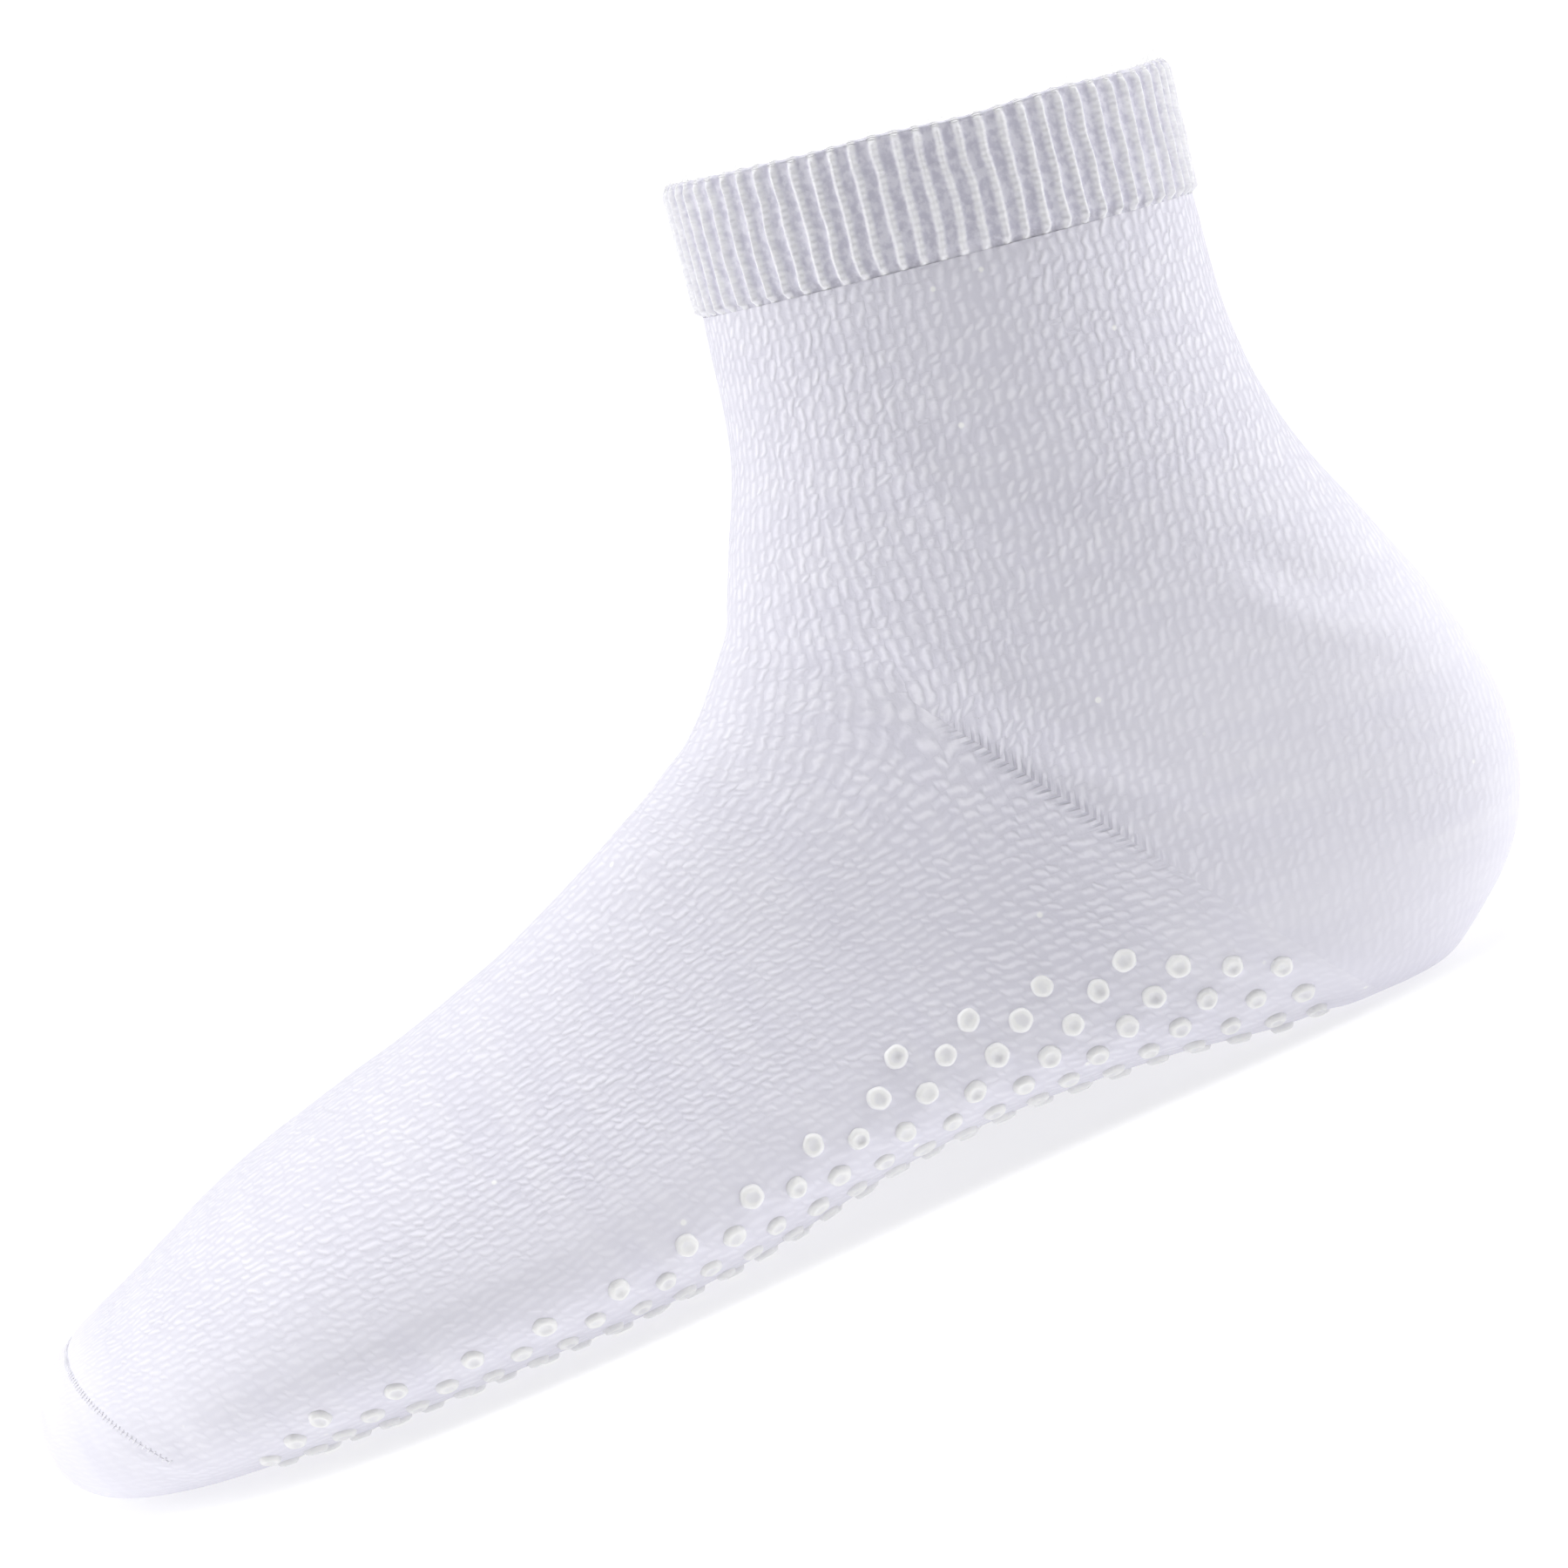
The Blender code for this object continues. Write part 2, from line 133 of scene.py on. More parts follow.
def body_rows():
    """The listed sections from just under the cuff's edge to the tip of the toe."""
    rows = [leg_section(LEG_LENGTH - CUFF_HEIGHT), leg_section(LEG_ROWS[0][0] * LEG_LENGTH)]
    for front_along, front_up, back_along, back_up, heel_part, widest, square in TURN_ROWS:
        width = ANKLE_WIDTH + heel_part * (HEEL_WIDTH - ANKLE_WIDTH)
        rows.append((
            front_along * FOOT_LENGTH, front_up * ANKLE_HEIGHT,
            back_along * FOOT_LENGTH, back_up * ANKLE_HEIGHT,
            width, 0, 0, 0, widest, TOP_SQUARE, square,
        ))
    for top_along, top_up, sole_along, arch, spring, width, shift, crest, inner, widest in FOOT_ROWS:
        rows.append((
            top_along * FOOT_LENGTH, top_up * INSTEP_HEIGHT,
            sole_along * FOOT_LENGTH, arch * ARCH_HEIGHT + spring * TOE_SPRING,
            width * BALL_WIDTH, shift * BALL_WIDTH, crest * BALL_WIDTH,
            inner * ARCH_HEIGHT, widest, TOP_SQUARE, SOLE_SQUARE,
        ))
    return np.array(rows, dtype=float)


def rows_at(rows, places):
    """Sections on smooth curves through the listed ones."""
    padded = np.vstack([2 * rows[0] - rows[1], rows, 2 * rows[-1] - rows[-2]])
    start = np.clip(np.asarray(places).astype(int), 0, len(rows) - 2)
    t = (np.asarray(places) - start)[:, None]
    a, b, c, d = (padded[start + step] for step in range(4))
    smooth = 2 * b + (c - a) * t + (2 * a - 5 * b + 4 * c - d) * t**2
    return 0.5 * (smooth + (3 * b - a - 3 * c + d) * t**3)


def ring_of_points(section, columns, proud=0.0):
    """Points evenly spaced round a section, from the back line by the outer side to the front."""
    front_along, front_up, back_along, back_up, width, shift, crest, inner, widest, top, back = section
    angle = np.linspace(-math.pi / 2, 3 * math.pi / 2, ARC_POINTS)
    depth = math.hypot(front_along - back_along, front_up - back_up)
    is_front = np.sin(angle) > 0
    reach = np.where(is_front, (1 - widest) * depth, widest * depth) + proud
    power = 2 / np.where(is_front, top, back)
    across = -np.sign(np.cos(angle)) * np.abs(np.cos(angle)) ** power
    forward = np.sign(np.sin(angle)) * np.abs(np.sin(angle)) ** power
    side = across * (width / 2 + proud) + shift + crest * np.clip(forward, 0, 1)
    share = widest + forward * reach / max(depth, 1e-6)
    along = back_along + share * (front_along - back_along)
    up = back_up + share * (front_up - back_up)
    up = up + inner * np.clip(across, 0, 1) ** 1.5 * np.clip(-forward, 0, 1)
    softness = np.clip(1 - up / ANKLE_HEIGHT, 0, 1)
    ramp = np.clip((along - HEEL_PAD_END) / (PRINT_START - HEEL_PAD_END), 0, 1)
    level = DOT_HEIGHT * ramp * ramp * (3 - 2 * ramp)
    up = np.maximum(up - (SOLE_SQUASH - level) * softness, level)
    points = np.stack([FOOT_LENGTH / 2 - along, side - middle_side, up], axis=-1)
    walked = np.concatenate([[0], np.cumsum(np.linalg.norm(np.diff(points, axis=0), axis=1))])
    places = np.arange(columns) * walked[-1] / columns
    return np.stack([np.interp(places, walked, points[:, k]) for k in range(3)], axis=-1)


def even_places(rows, count):
    """Places whose sections lie about evenly apart on the longer of the front and back lines."""
    fine = np.linspace(0, len(rows) - 1, FINE_PLACES)
    lines = rows_at(rows, fine)
    steps = np.diff(lines[:, :4], axis=0)
    longer = np.maximum(np.hypot(steps[:, 0], steps[:, 1]), np.hypot(steps[:, 2], steps[:, 3]))
    longer = np.maximum(longer, 1e-5)
    walked = np.concatenate([[0], np.cumsum(longer)])
    return np.interp(np.linspace(0, walked[-1], count), walked, fine)


def outward_normals(grid):
    """Facings of a grid of rings and columns, away from the inside."""
    round_about = np.roll(grid, -1, axis=1) - np.roll(grid, 1, axis=1)
    normals = np.cross(round_about, np.gradient(grid, axis=0))
    return normals / np.maximum(np.linalg.norm(normals, axis=2, keepdims=True), 1e-12)


def smooth_step(low, high, value):
    """From 0 at the low value to 1 at the high one, easing at both ends."""
    t = np.clip((value - low) / (high - low), 0, 1)
    return t * t * (3 - 2 * t)


rows = body_rows()
widths = rows_at(rows, np.linspace(0, len(rows) - 1, WIDTH_PLACES))
outer_edge = np.min(widths[:, 5] - widths[:, 4] / 2)
inner_edge = np.max(widths[:, 5] + widths[:, 4] / 2)
middle_side = (outer_edge + inner_edge) / 2
ring_places = even_places(rows, BODY_RINGS)
form = np.array([ring_of_points(row, BODY_COLUMNS) for row in rows_at(rows, ring_places)])
normals = outward_normals(form)
along = FOOT_LENGTH / 2 - form[:, :, 0]
side = form[:, :, 1]
up = form[:, :, 2]

# Creases drawn as the knit eases round the ankle: start and end (along, up), half width,
# how far it stands out or sinks in before the factor CREASE_DEPTH, and on which side: the outer
# one (-1), the inner one (1) or both (0)
CREASES = (
    (0.062, 0.101, 0.048, 0.080, 0.0030, -0.00035, -1),
    (0.068, 0.099, 0.054, 0.078, 0.0026, 0.00028, -1),
    (0.028, 0.068, 0.011, 0.054, 0.0030, -0.00035, -1),
    (0.030, 0.062, 0.013, 0.047, 0.0028, 0.00028, -1),
    (0.073, 0.071, 0.042, 0.036, 0.0034, 0.00035, -1),
    (0.078, 0.066, 0.055, 0.040, 0.0022, -0.00022, -1),
    (0.100, 0.084, 0.082, 0.073, 0.0026, -0.00040, 0),
    (0.104, 0.076, 0.086, 0.066, 0.0028, 0.00030, 0),
    (0.112, 0.070, 0.094, 0.058, 0.0026, -0.00030, 0),
    (0.060, 0.096, 0.046, 0.084, 0.0030, -0.00034, 1),
    (0.032, 0.066, 0.012, 0.058, 0.0030, -0.00034, 1),
    (0.028, 0.058, 0.012, 0.050, 0.0028, 0.00028, 1),
    (0.070, 0.066, 0.044, 0.040, 0.0034, 0.00032, 1),
    (0.120, 0.040, 0.096, 0.030, 0.0040, -0.00030, 1),
    (0.185, 0.030, 0.160, 0.034, 0.0045, -0.00025, 1),
)
CREASE_DEPTH = 1.8
CREASE_SWAY = 0.0010
EASING_SCALE = 55
BROAD_EASING = 0.00016
FINE_EASING = 0.00010
relief = np.zeros(form.shape[:2])
for start_along, start_up, end_along, end_up, half_width, height, which in CREASES:
    run = np.array([end_along - start_along, end_up - start_up])
    length = np.linalg.norm(run)
    run = run / length
    went = (along - start_along) * run[0] + (up - start_up) * run[1]
    off = (along - start_along) * run[1] - (up - start_up) * run[0]
    off = off + CREASE_SWAY * np.sin(went / length * math.pi * 1.4)
    ends = smooth_step(-0.4 * length, 0.3 * length, went)
    ends = ends * smooth_step(1.4 * length, 0.7 * length, went)
    facing = 1 if which == 0 else smooth_step(0.0, 0.012, side * which)
    relief += CREASE_DEPTH * height * np.exp(-(off / half_width) ** 2) * ends * facing
for ring in range(BODY_RINGS):
    for column in range(0, BODY_COLUMNS, 4):
        spot = Vector(form[ring, column]) * EASING_SCALE
        easing = BROAD_EASING * noise.noise(spot) + FINE_EASING * noise.noise(spot * 2.7)
        relief[ring, column:column + 4] += easing
relief[:, :] = (np.roll(relief, 1, axis=1) + 2 * relief + np.roll(relief, -1, axis=1)) / 4
relief *= smooth_step(0.0, 0.006, up - DOT_HEIGHT) * smooth_step(0.0, 0.012, FOOT_LENGTH - along)

# The toe is closed by a seam across the front, which draws the knit in along its line
SEAM_BEHIND_TOE = 0.0235
SEAM_SLOPE = math.radians(45)
SEAM_END_UP = 0.0095
TROUGH_DEPTH = 0.00012
TROUGH_REACH = 0.0007
SWELL_HEIGHT = 0.00018
SWELL_FROM_SEAM = 0.0021
SWELL_REACH = 0.0010
PUCKER_HEIGHT = 0.00055
PUCKER_REACH = 0.0022
ABOVE_FLOOR = 0.0002
seam_along = FOOT_LENGTH - SEAM_BEHIND_TOE - SEAM_END_UP * math.tan(SEAM_SLOPE)
from_seam = (along - up * math.tan(SEAM_SLOPE) - seam_along) * math.cos(SEAM_SLOPE)
seam_here = smooth_step(SEAM_END_UP - 0.002, SEAM_END_UP + 0.002, up)
relief -= TROUGH_DEPTH * np.exp(-(from_seam / TROUGH_REACH) ** 2) * seam_here
beside_seam = (np.abs(from_seam) - SWELL_FROM_SEAM) / SWELL_REACH
relief += SWELL_HEIGHT * np.exp(-beside_seam ** 2) * seam_here
pucker = np.hypot(from_seam, (up - SEAM_END_UP) * 0.8)
relief += PUCKER_HEIGHT * np.exp(-(pucker / PUCKER_REACH) ** 2) * (1 - 0.6 * seam_here)
knit = form + normals * relief[:, :, None]
knit[:, :, 2] = np.maximum(knit[:, :, 2], np.where(along < HEEL_PAD_END, 0, ABOVE_FLOOR))

# Wales and courses, counted. Above the suture the wales run down the leg, below it along the foot,
# and in front of it they bend round the ankle with the columns.
SUTURE_FRONT = (0.074, 0.059)
SUTURE_BACK = (0.052, 0.027)
UPPER_WALE_STEP = 0.00172
LOW_WALE_STEP = 0.00168
WALE_AT_SUTURE = 43.0
ROUND_BACK = 0.028
ROUND_SOLE = 0.018
LOW_COURSE_START = 0.0564
LOW_COURSE_LEAN = math.radians(16.5)
leg_way = np.array([-math.sin(LEG_LEAN), math.cos(LEG_LEAN)])
above_middle = (along - ANKLE_MIDDLE[0]) * leg_way[0] + (up - ANKLE_MIDDLE[1]) * leg_way[1]
before_middle = (along - ANKLE_MIDDLE[0]) * leg_way[1] - (up - ANKLE_MIDDLE[1]) * leg_way[0]
column_wale = np.broadcast_to(np.arange(BODY_COLUMNS) * WALES / BODY_COLUMNS, form.shape[:2])
half = np.minimum(column_wale, WALES - column_wale)
back_reach = np.maximum(-before_middle.min(axis=1, keepdims=True), LEG_DEPTH / 2)
straight_side = back_reach - ROUND_BACK
past_side = np.clip((-before_middle - straight_side) / ROUND_BACK, 0, 1)
upper_walk = np.minimum(-before_middle, straight_side) + ROUND_BACK * np.arcsin(past_side)
upper_half = WALES / 4 - upper_walk / UPPER_WALE_STEP
flat = HEEL_WIDTH / 2 - ROUND_SOLE
outward_side = np.abs(side + middle_side)
corner_turn = np.arctan2(np.maximum(outward_side - flat, 0), np.maximum(ROUND_SOLE - up, 1e-5))
low_walk = np.minimum(outward_side, flat) + ROUND_SOLE * corner_turn + np.maximum(up - ROUND_SOLE, 0)
walk_at_suture = flat + ROUND_SOLE * math.pi / 2 + SUTURE_FRONT[1] - ROUND_SOLE
lower_half = WALE_AT_SUTURE + (low_walk - walk_at_suture) / LOW_WALE_STEP
bend = smooth_step(2.5, 10.5, ring_places)[:, None]
upper_course = -above_middle
lower_course = along - up * math.tan(LOW_COURSE_LEAN) - LOW_COURSE_START
column_course = upper_course * (1 - bend) + lower_course * bend
passed = (along - SUTURE_FRONT[0]) * leg_way[1] - (up - SUTURE_FRONT[1]) * leg_way[0]
upper_blend = smooth_step(-0.013, 0.012, passed)
upper_blend = np.maximum(upper_blend, smooth_step(0.006, 0.030, above_middle))
toward_leg = (up - SUTURE_FRONT[1]) + 0.6 * (along - SUTURE_FRONT[0])
lower_blend = smooth_step(-0.030, 0.034, toward_leg)
knit_above = np.stack([
    upper_half * (1 - upper_blend) + half * upper_blend,
    (upper_course * (1 - upper_blend) + column_course * upper_blend) / COURSE_STEP,
], axis=-1)
knit_below = np.stack([
    lower_half * (1 - lower_blend) + half * lower_blend,
    (lower_course * (1 - lower_blend) + column_course * lower_blend) / COURSE_STEP,
], axis=-1)
suture_run = np.array(SUTURE_BACK) - np.array(SUTURE_FRONT)
suture_length = np.linalg.norm(suture_run)
suture_run = suture_run / suture_length
from_front = (along - SUTURE_FRONT[0], up - SUTURE_FRONT[1])
down_suture = from_front[0] * suture_run[0] + from_front[1] * suture_run[1]
above_suture = from_front[0] * suture_run[1] - from_front[1] * suture_run[0]
ahead = smooth_step(0.000, -0.012, down_suture)[:, :, None]
higher = smooth_step(-0.009, 0.009, above_suture)[:, :, None]
meeting = knit_below * (1 - higher) + knit_above * higher
knit_above = knit_above * (1 - ahead) + meeting * ahead
knit_below = knit_below * (1 - ahead) + meeting * ahead
on_suture = smooth_step(-0.009, 0.002, down_suture)
on_suture = on_suture * smooth_step(1.2 * suture_length, 0.45 * suture_length, down_suture)

# How clearly the strands show: they fade over the heel, along the foot, at the sole and on the toe
HEEL_FADE = 0.62
FOOT_FADE = 0.26
SOLE_FADE = 0.5
TOE_FADE = 0.6
clearness = 1 - HEEL_FADE * smooth_step(0.074, 0.034, along) * smooth_step(0.090, 0.045, up)
clearness *= 1 - FOOT_FADE * smooth_step(0.070, 0.110, along)
clearness *= 1 - SOLE_FADE * smooth_step(0.028, 0.016, up)
toward_tip = along - up * 0.3
clearness *= 1 - TOE_FADE * smooth_step(FOOT_LENGTH - 0.028, FOOT_LENGTH - 0.016, toward_tip)


def add_mesh(name, corners, faces):
    """A smoothly shaded object from its corners and faces."""
    mesh = bpy.data.meshes.new(name)
    mesh.from_pydata([tuple(corner) for corner in corners], [], faces)
    mesh.update()
    mesh.shade_smooth()
    thing = bpy.data.objects.new(name, mesh)
    bpy.context.scene.collection.objects.link(thing)
    return thing


def mesh_piece(name, grid, tip=None):
    """A piece of mesh on a grid of points, rings by columns, drawn together at a tip if it has one."""
    rings, around = grid.shape[:2]
    corners = grid.reshape(-1, 3)
    ring, column = np.meshgrid(np.arange(rings - 1), np.arange(around), indexing="ij")
    after = (column + 1) % around
    this_ring = ring * around
    next_ring = (ring + 1) * around
    faces = [this_ring + column, this_ring + after, next_ring + after, next_ring + column]
    faces = np.stack(faces, axis=-1).reshape(-1, 4).tolist()
    if tip is not None:
        corners = np.vstack([corners, tip])
        last = (rings - 1) * around
        faces += [(last + k, last + (k + 1) % around, len(corners) - 1) for k in range(around)]
    return add_mesh(name, corners, faces)


def corners_of(values, wrap=0.0):
    """Values at the four corners of each face of a grid. Past the back line they go on by the wrap."""
    beyond = np.concatenate([values[:, 1:], values[:, :1] + wrap], axis=1)
    return np.stack([values[:-1], beyond[:-1], beyond[1:], values[1:]], axis=-1)


def on_both_sides(values):
    """Wales counted from the back line at each face corner, on past the front line on the inner side."""
    table = corners_of(values)
    inner = table.shape[1] // 2
    table[:, inner:] = WALES - table[:, inner:]
    return table


def lay_on_faces(thing, name, *tables):
    """Keeps two or three numbers at each corner of each face."""
    laid = np.stack(tables, axis=-1)
    numbers = len(tables)
    on_grid = laid.size // numbers
    filled = np.zeros((len(thing.data.loops), 3), dtype=np.float32)
    filled[:on_grid, :numbers] = laid.reshape(-1, numbers)
    tip_faces = filled[on_grid:].reshape(-1, 3, 3)
    tip_faces[:, :, :numbers] = laid[-1, :len(tip_faces), 3][:, None, :]
    attribute = thing.data.attributes.new(name, "FLOAT_VECTOR", "CORNER")
    attribute.data.foreach_set("vector", filled.ravel())


body = mesh_piece("knitted_body", knit[:-1], tip=knit[-1, 0])
lay_on_faces(
    body, "knit_above",
    on_both_sides(knit_above[:-1, :, 0]),
    corners_of(knit_above[:-1, :, 1]),
    corners_of(above_suture[:-1] * 1000),
)
lay_on_faces(
    body, "knit_below",
    on_both_sides(knit_below[:-1, :, 0]),
    corners_of(knit_below[:-1, :, 1]),
)
lay_on_faces(
    body, "knit_soft",
    corners_of(clearness[:-1]),
    corners_of(on_suture[:-1]),
    corners_of(down_suture[:-1] * 1000),
)


class Nodes:
    """Short ways to write the nodes of one material, or of the world."""

    def __init__(self, owner):
        owner.use_nodes = True
        self.owner = owner
        self.tree = owner.node_tree
        self.shader = self.tree.nodes.get("Principled BSDF")

    def put(self, socket, value):
        if isinstance(value, bpy.types.NodeSocket):
            self.tree.links.new(value, socket)
        else:
            socket.default_value = value

    def maths(self, operation, *values):
        node = self.tree.nodes.new("ShaderNodeMath")
        node.operation = operation
        for socket, value in zip(node.inputs, values):
            self.put(socket, value)
        return node.outputs[0]

    def add(self, first, second):
        return self.maths("ADD", first, second)

    def less(self, first, second):
        return self.maths("SUBTRACT", first, second)

    def times(self, first, second):
        return self.maths("MULTIPLY", first, second)

    def ramp(self, value, low, high, to_low=0.0, to_high=1.0):
        node = self.tree.nodes.new("ShaderNodeMapRange")
        node.interpolation_type = "SMOOTHSTEP"
        for socket, given in zip(node.inputs, (value, low, high, to_low, to_high)):
            self.put(socket, given)
        return node.outputs[0]

    def mix(self, share, first, second):
        node = self.tree.nodes.new("ShaderNodeMix")
        self.put(node.inputs[0], share)
        self.put(node.inputs[2], first)
        self.put(node.inputs[3], second)
        return node.outputs[0]

    def blend_colour(self, share, first, second):
        """A mix of two colours, each three numbers or another node's colour."""
        node = self.tree.nodes.new("ShaderNodeMix")
        node.data_type = "RGBA"
        self.put(node.inputs[0], share)
        for socket, colour in ((node.inputs[6], first), (node.inputs[7], second)):
            self.put(socket, (*colour, 1) if isinstance(colour, tuple) else colour)
        return node.outputs[2]

    def kept(self, name):
        """The three numbers that a mesh keeps under a name."""
        node = self.tree.nodes.new("ShaderNodeAttribute")
        node.attribute_name = name
        split = self.tree.nodes.new("ShaderNodeSeparateXYZ")
        self.tree.links.new(node.outputs["Vector"], split.inputs[0])
        return split.outputs[0], split.outputs[1], split.outputs[2]

    def place(self):
        return self.tree.nodes.new("ShaderNodeTexCoord").outputs["Object"]

    def noise(self, where, scale, detail=2.0, stretch=None):
        if stretch is not None:
            node = self.tree.nodes.new("ShaderNodeMapping")
            node.inputs["Scale"].default_value = stretch
            self.tree.links.new(where, node.inputs["Vector"])
            where = node.outputs[0]
        node = self.tree.nodes.new("ShaderNodeTexNoise")
        node.inputs["Scale"].default_value = scale
        node.inputs["Detail"].default_value = detail
        self.tree.links.new(where, node.inputs["Vector"])
        return node.outputs[0]

    def jitter(self, where, scale, amount, detail=1.0):
        """Noise that sways about zero."""
        return self.times(self.less(self.noise(where, scale, detail), 0.5), amount)

    def specks(self, where, scale, reach):
        """Small round specks at scattered places."""
        node = self.tree.nodes.new("ShaderNodeTexVoronoi")
        node.inputs["Scale"].default_value = scale
        self.tree.links.new(where, node.inputs["Vector"])
        return self.ramp(node.outputs["Distance"], reach, 2.2 * reach, 1.0, 0.0)

    def join(self, *values):
        node = self.tree.nodes.new("ShaderNodeCombineXYZ")
        for socket, value in zip(node.inputs, values):
            self.put(socket, value)
        return node.outputs[0]

    def chance(self, *values):
        """An even chance number for each whole cell."""
        node = self.tree.nodes.new("ShaderNodeTexWhiteNoise")
        self.put(node.inputs["Vector"], self.join(*values))
        return node.outputs["Value"]

    def bump(self, height, distance, strength=1.0):
        node = self.tree.nodes.new("ShaderNodeBump")
        node.inputs["Distance"].default_value = distance
        node.inputs["Strength"].default_value = strength
        self.tree.links.new(height, node.inputs["Height"])
        return node.outputs[0]

    def strands(self, wale, course):
        """Height, 0 to 1, of fine plain knit. Each wale is a row of short strands, which drift a
        little across it and break out of line with their neighbours."""
        cell = self.maths("FLOOR", wale)
        own = self.chance(cell, 3.0, 0.0)
        walk = self.join(self.times(cell, 7.31), self.times(course, 0.30), 0.0)
        loose = self.noise(walk, 1.0, 1.0)
        stroke = self.add(self.times(course, 0.42), self.times(own, 3.0))
        stroke = self.add(stroke, self.times(loose, 2.4))
        turn = self.less(self.maths("FRACT", stroke), 0.5)
        tone = self.chance(cell, self.maths("FLOOR", stroke), 1.0)
        slant = self.times(turn, self.add(self.times(tone, -0.60), -0.08))
        off = self.add(self.less(self.maths("FRACT", wale), 0.5), slant)
        wave = self.maths("COSINE", self.times(off, 2 * math.pi))
        ridge = self.add(self.times(wave, 0.5), 0.5)
        ends = self.ramp(self.maths("ABSOLUTE", turn), 0.18, 0.50, 1.0, 0.45)
        beads = self.maths("SINE", self.times(self.add(course, own), math.pi))
        beads = self.maths("ABSOLUTE", beads)
        height = self.times(ridge, ends)
        height = self.times(height, self.add(self.times(beads, 0.12), 0.88))
        return self.times(height, self.add(self.times(tone, 0.40), 0.62))


def cotton_jersey():
    """Fine white cotton knit: strands by wale and course, faint bands, the suture, a few specks, and
    painted shade in the gaps and notches.
    """
    n = Nodes(bpy.data.materials.new("cotton_jersey"))
    place = n.place()
    wobble = n.jitter(place, 170.0, 0.9)
    shiver = n.jitter(place, 560.0, 0.45)
    above_wale, above_course, above = n.kept("knit_above")
    below_wale, below_course = n.kept("knit_below")[:2]
    clear, on_suture, down_suture = n.kept("knit_soft")
    is_above = n.maths("GREATER_THAN", above, 0.0)
    wale = n.add(n.mix(is_above, below_wale, above_wale), n.add(wobble, shiver))
    course = n.add(n.mix(is_above, below_course, above_course), wobble)
    height = n.strands(wale, course)
    from_line = n.maths("ABSOLUTE", above)
    chevron = n.add(n.times(down_suture, 0.70), n.times(from_line, 0.55))
    chevron = n.maths("ABSOLUTE", n.less(n.maths("FRACT", n.add(chevron, wobble)), 0.5))
    chevron = n.times(n.ramp(chevron, 0.22, 0.42), n.ramp(from_line, 0.5, 2.1, 1.0, 0.0))
    chevron = n.times(chevron, on_suture)
    height = n.add(height, n.jitter(place, 800.0, 0.75, 2.0))
    height = n.less(height, n.times(chevron, 0.8))
    n.put(n.shader.inputs["Normal"], n.bump(n.times(height, clear), 0.00018))
    band_walk = n.join(n.times(course, 0.24), n.times(wale, 0.035), 0.0)
    bands = n.noise(band_walk, 1.0, 2.0)
    light = n.blend_colour(n.ramp(bands, 0.35, 0.65), (0.838, 0.829, 0.914), (0.876, 0.868, 0.940))
    clouds = n.ramp(n.noise(place, 70.0, 3.0), 0.35, 0.7)
    light = n.blend_colour(clouds, light, (0.857, 0.848, 0.927))
    # Painted shade: the colour darkens in the low gaps between strands and in the suture's notches,
    # where shade falls.
    shade = n.times(n.ramp(height, 0.0, 0.95, 1.0, 0.0), n.times(clear, 0.54))
    shade = n.maths("MAXIMUM", shade, n.times(chevron, 0.95))
    colour = n.blend_colour(shade, light, (0.575, 0.565, 0.655))
    specks = n.specks(place, 110.0, 0.030)
    n.put(n.shader.inputs["Base Color"], n.blend_colour(specks, colour, (0.97, 0.97, 0.98)))
    n.shader.inputs["Roughness"].default_value = 0.92
    n.shader.inputs["Specular IOR Level"].default_value = 0.25
    n.shader.inputs["Sheen Weight"].default_value = 0.2
    n.shader.inputs["Sheen Roughness"].default_value = 0.5
    return n.owner


jersey = cotton_jersey()
body.data.materials.append(jersey)
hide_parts("knit_body")
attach(body, "root")


# Inside of the knitted body: the back of the same fabric, seen down the leg. The purl side shows
# short wavy ridges across the wales.

INSIDE_STEP = 3
every = slice(None, None, INSIDE_STEP)
inside_form = form[every, every] - normals[every, every] * KNIT_WALL
inside_body = mesh_piece("inside_of_knitted_body", inside_form[:, ::-1])


def purl_side():
    """The back of the knit: short wavy ridges, in painted shade that makes it greyer than the outside
    and darkest in the ridges' hollows.
    """
    n = Nodes(bpy.data.materials.new("cotton_jersey_inside"))
    place = n.place()
    ridges = n.noise(place, 1500.0, 2.0, stretch=(0.5, 0.5, 1.0))
    n.put(n.shader.inputs["Normal"], n.bump(ridges, 0.0004))
    # Painted shade: the colour follows the ridges' height and is darker in the hollows between them.
    colour = n.blend_colour(n.ramp(ridges, 0.35, 0.65), (0.62, 0.615, 0.66), (0.84, 0.84, 0.885))
    n.put(n.shader.inputs["Base Color"], colour)
    n.shader.inputs["Roughness"].default_value = 0.95
    n.shader.inputs["Specular IOR Level"].default_value = 0.2
    return n.owner


purl = purl_side()
inside_body.data.materials.append(purl)
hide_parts("knit_body")
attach(inside_body, "root")


# Rib cuff: one-by-one rib in cotton with an elastic yarn, folded over at the rim and knitted on to
# the leg. Each rib is a narrow standing wale, with a wider sunk wale beside it.

RIB_COUNT = 72
POINTS_A_RIB = 12
RIB_HEIGHT = 0.0009
CUFF_STEP = 0.0002
CUFF_WALL = 0.0013
CUFF_RINGS = 44
RIM_RINGS = 9
LINING_RINGS = 14
RIM_ROLL = 0.00032
LINING_SINK = 0.0004
LINING_BELOW = 0.003
FURROW_DEPTH = 0.0004
RIM_DIP = 0.0007
RIM_WAVE = 0.00035
RIM_HEIGHT = 0.0006
RIM_RIB_HEIGHT = 0.00022
END_SINK = 0.30

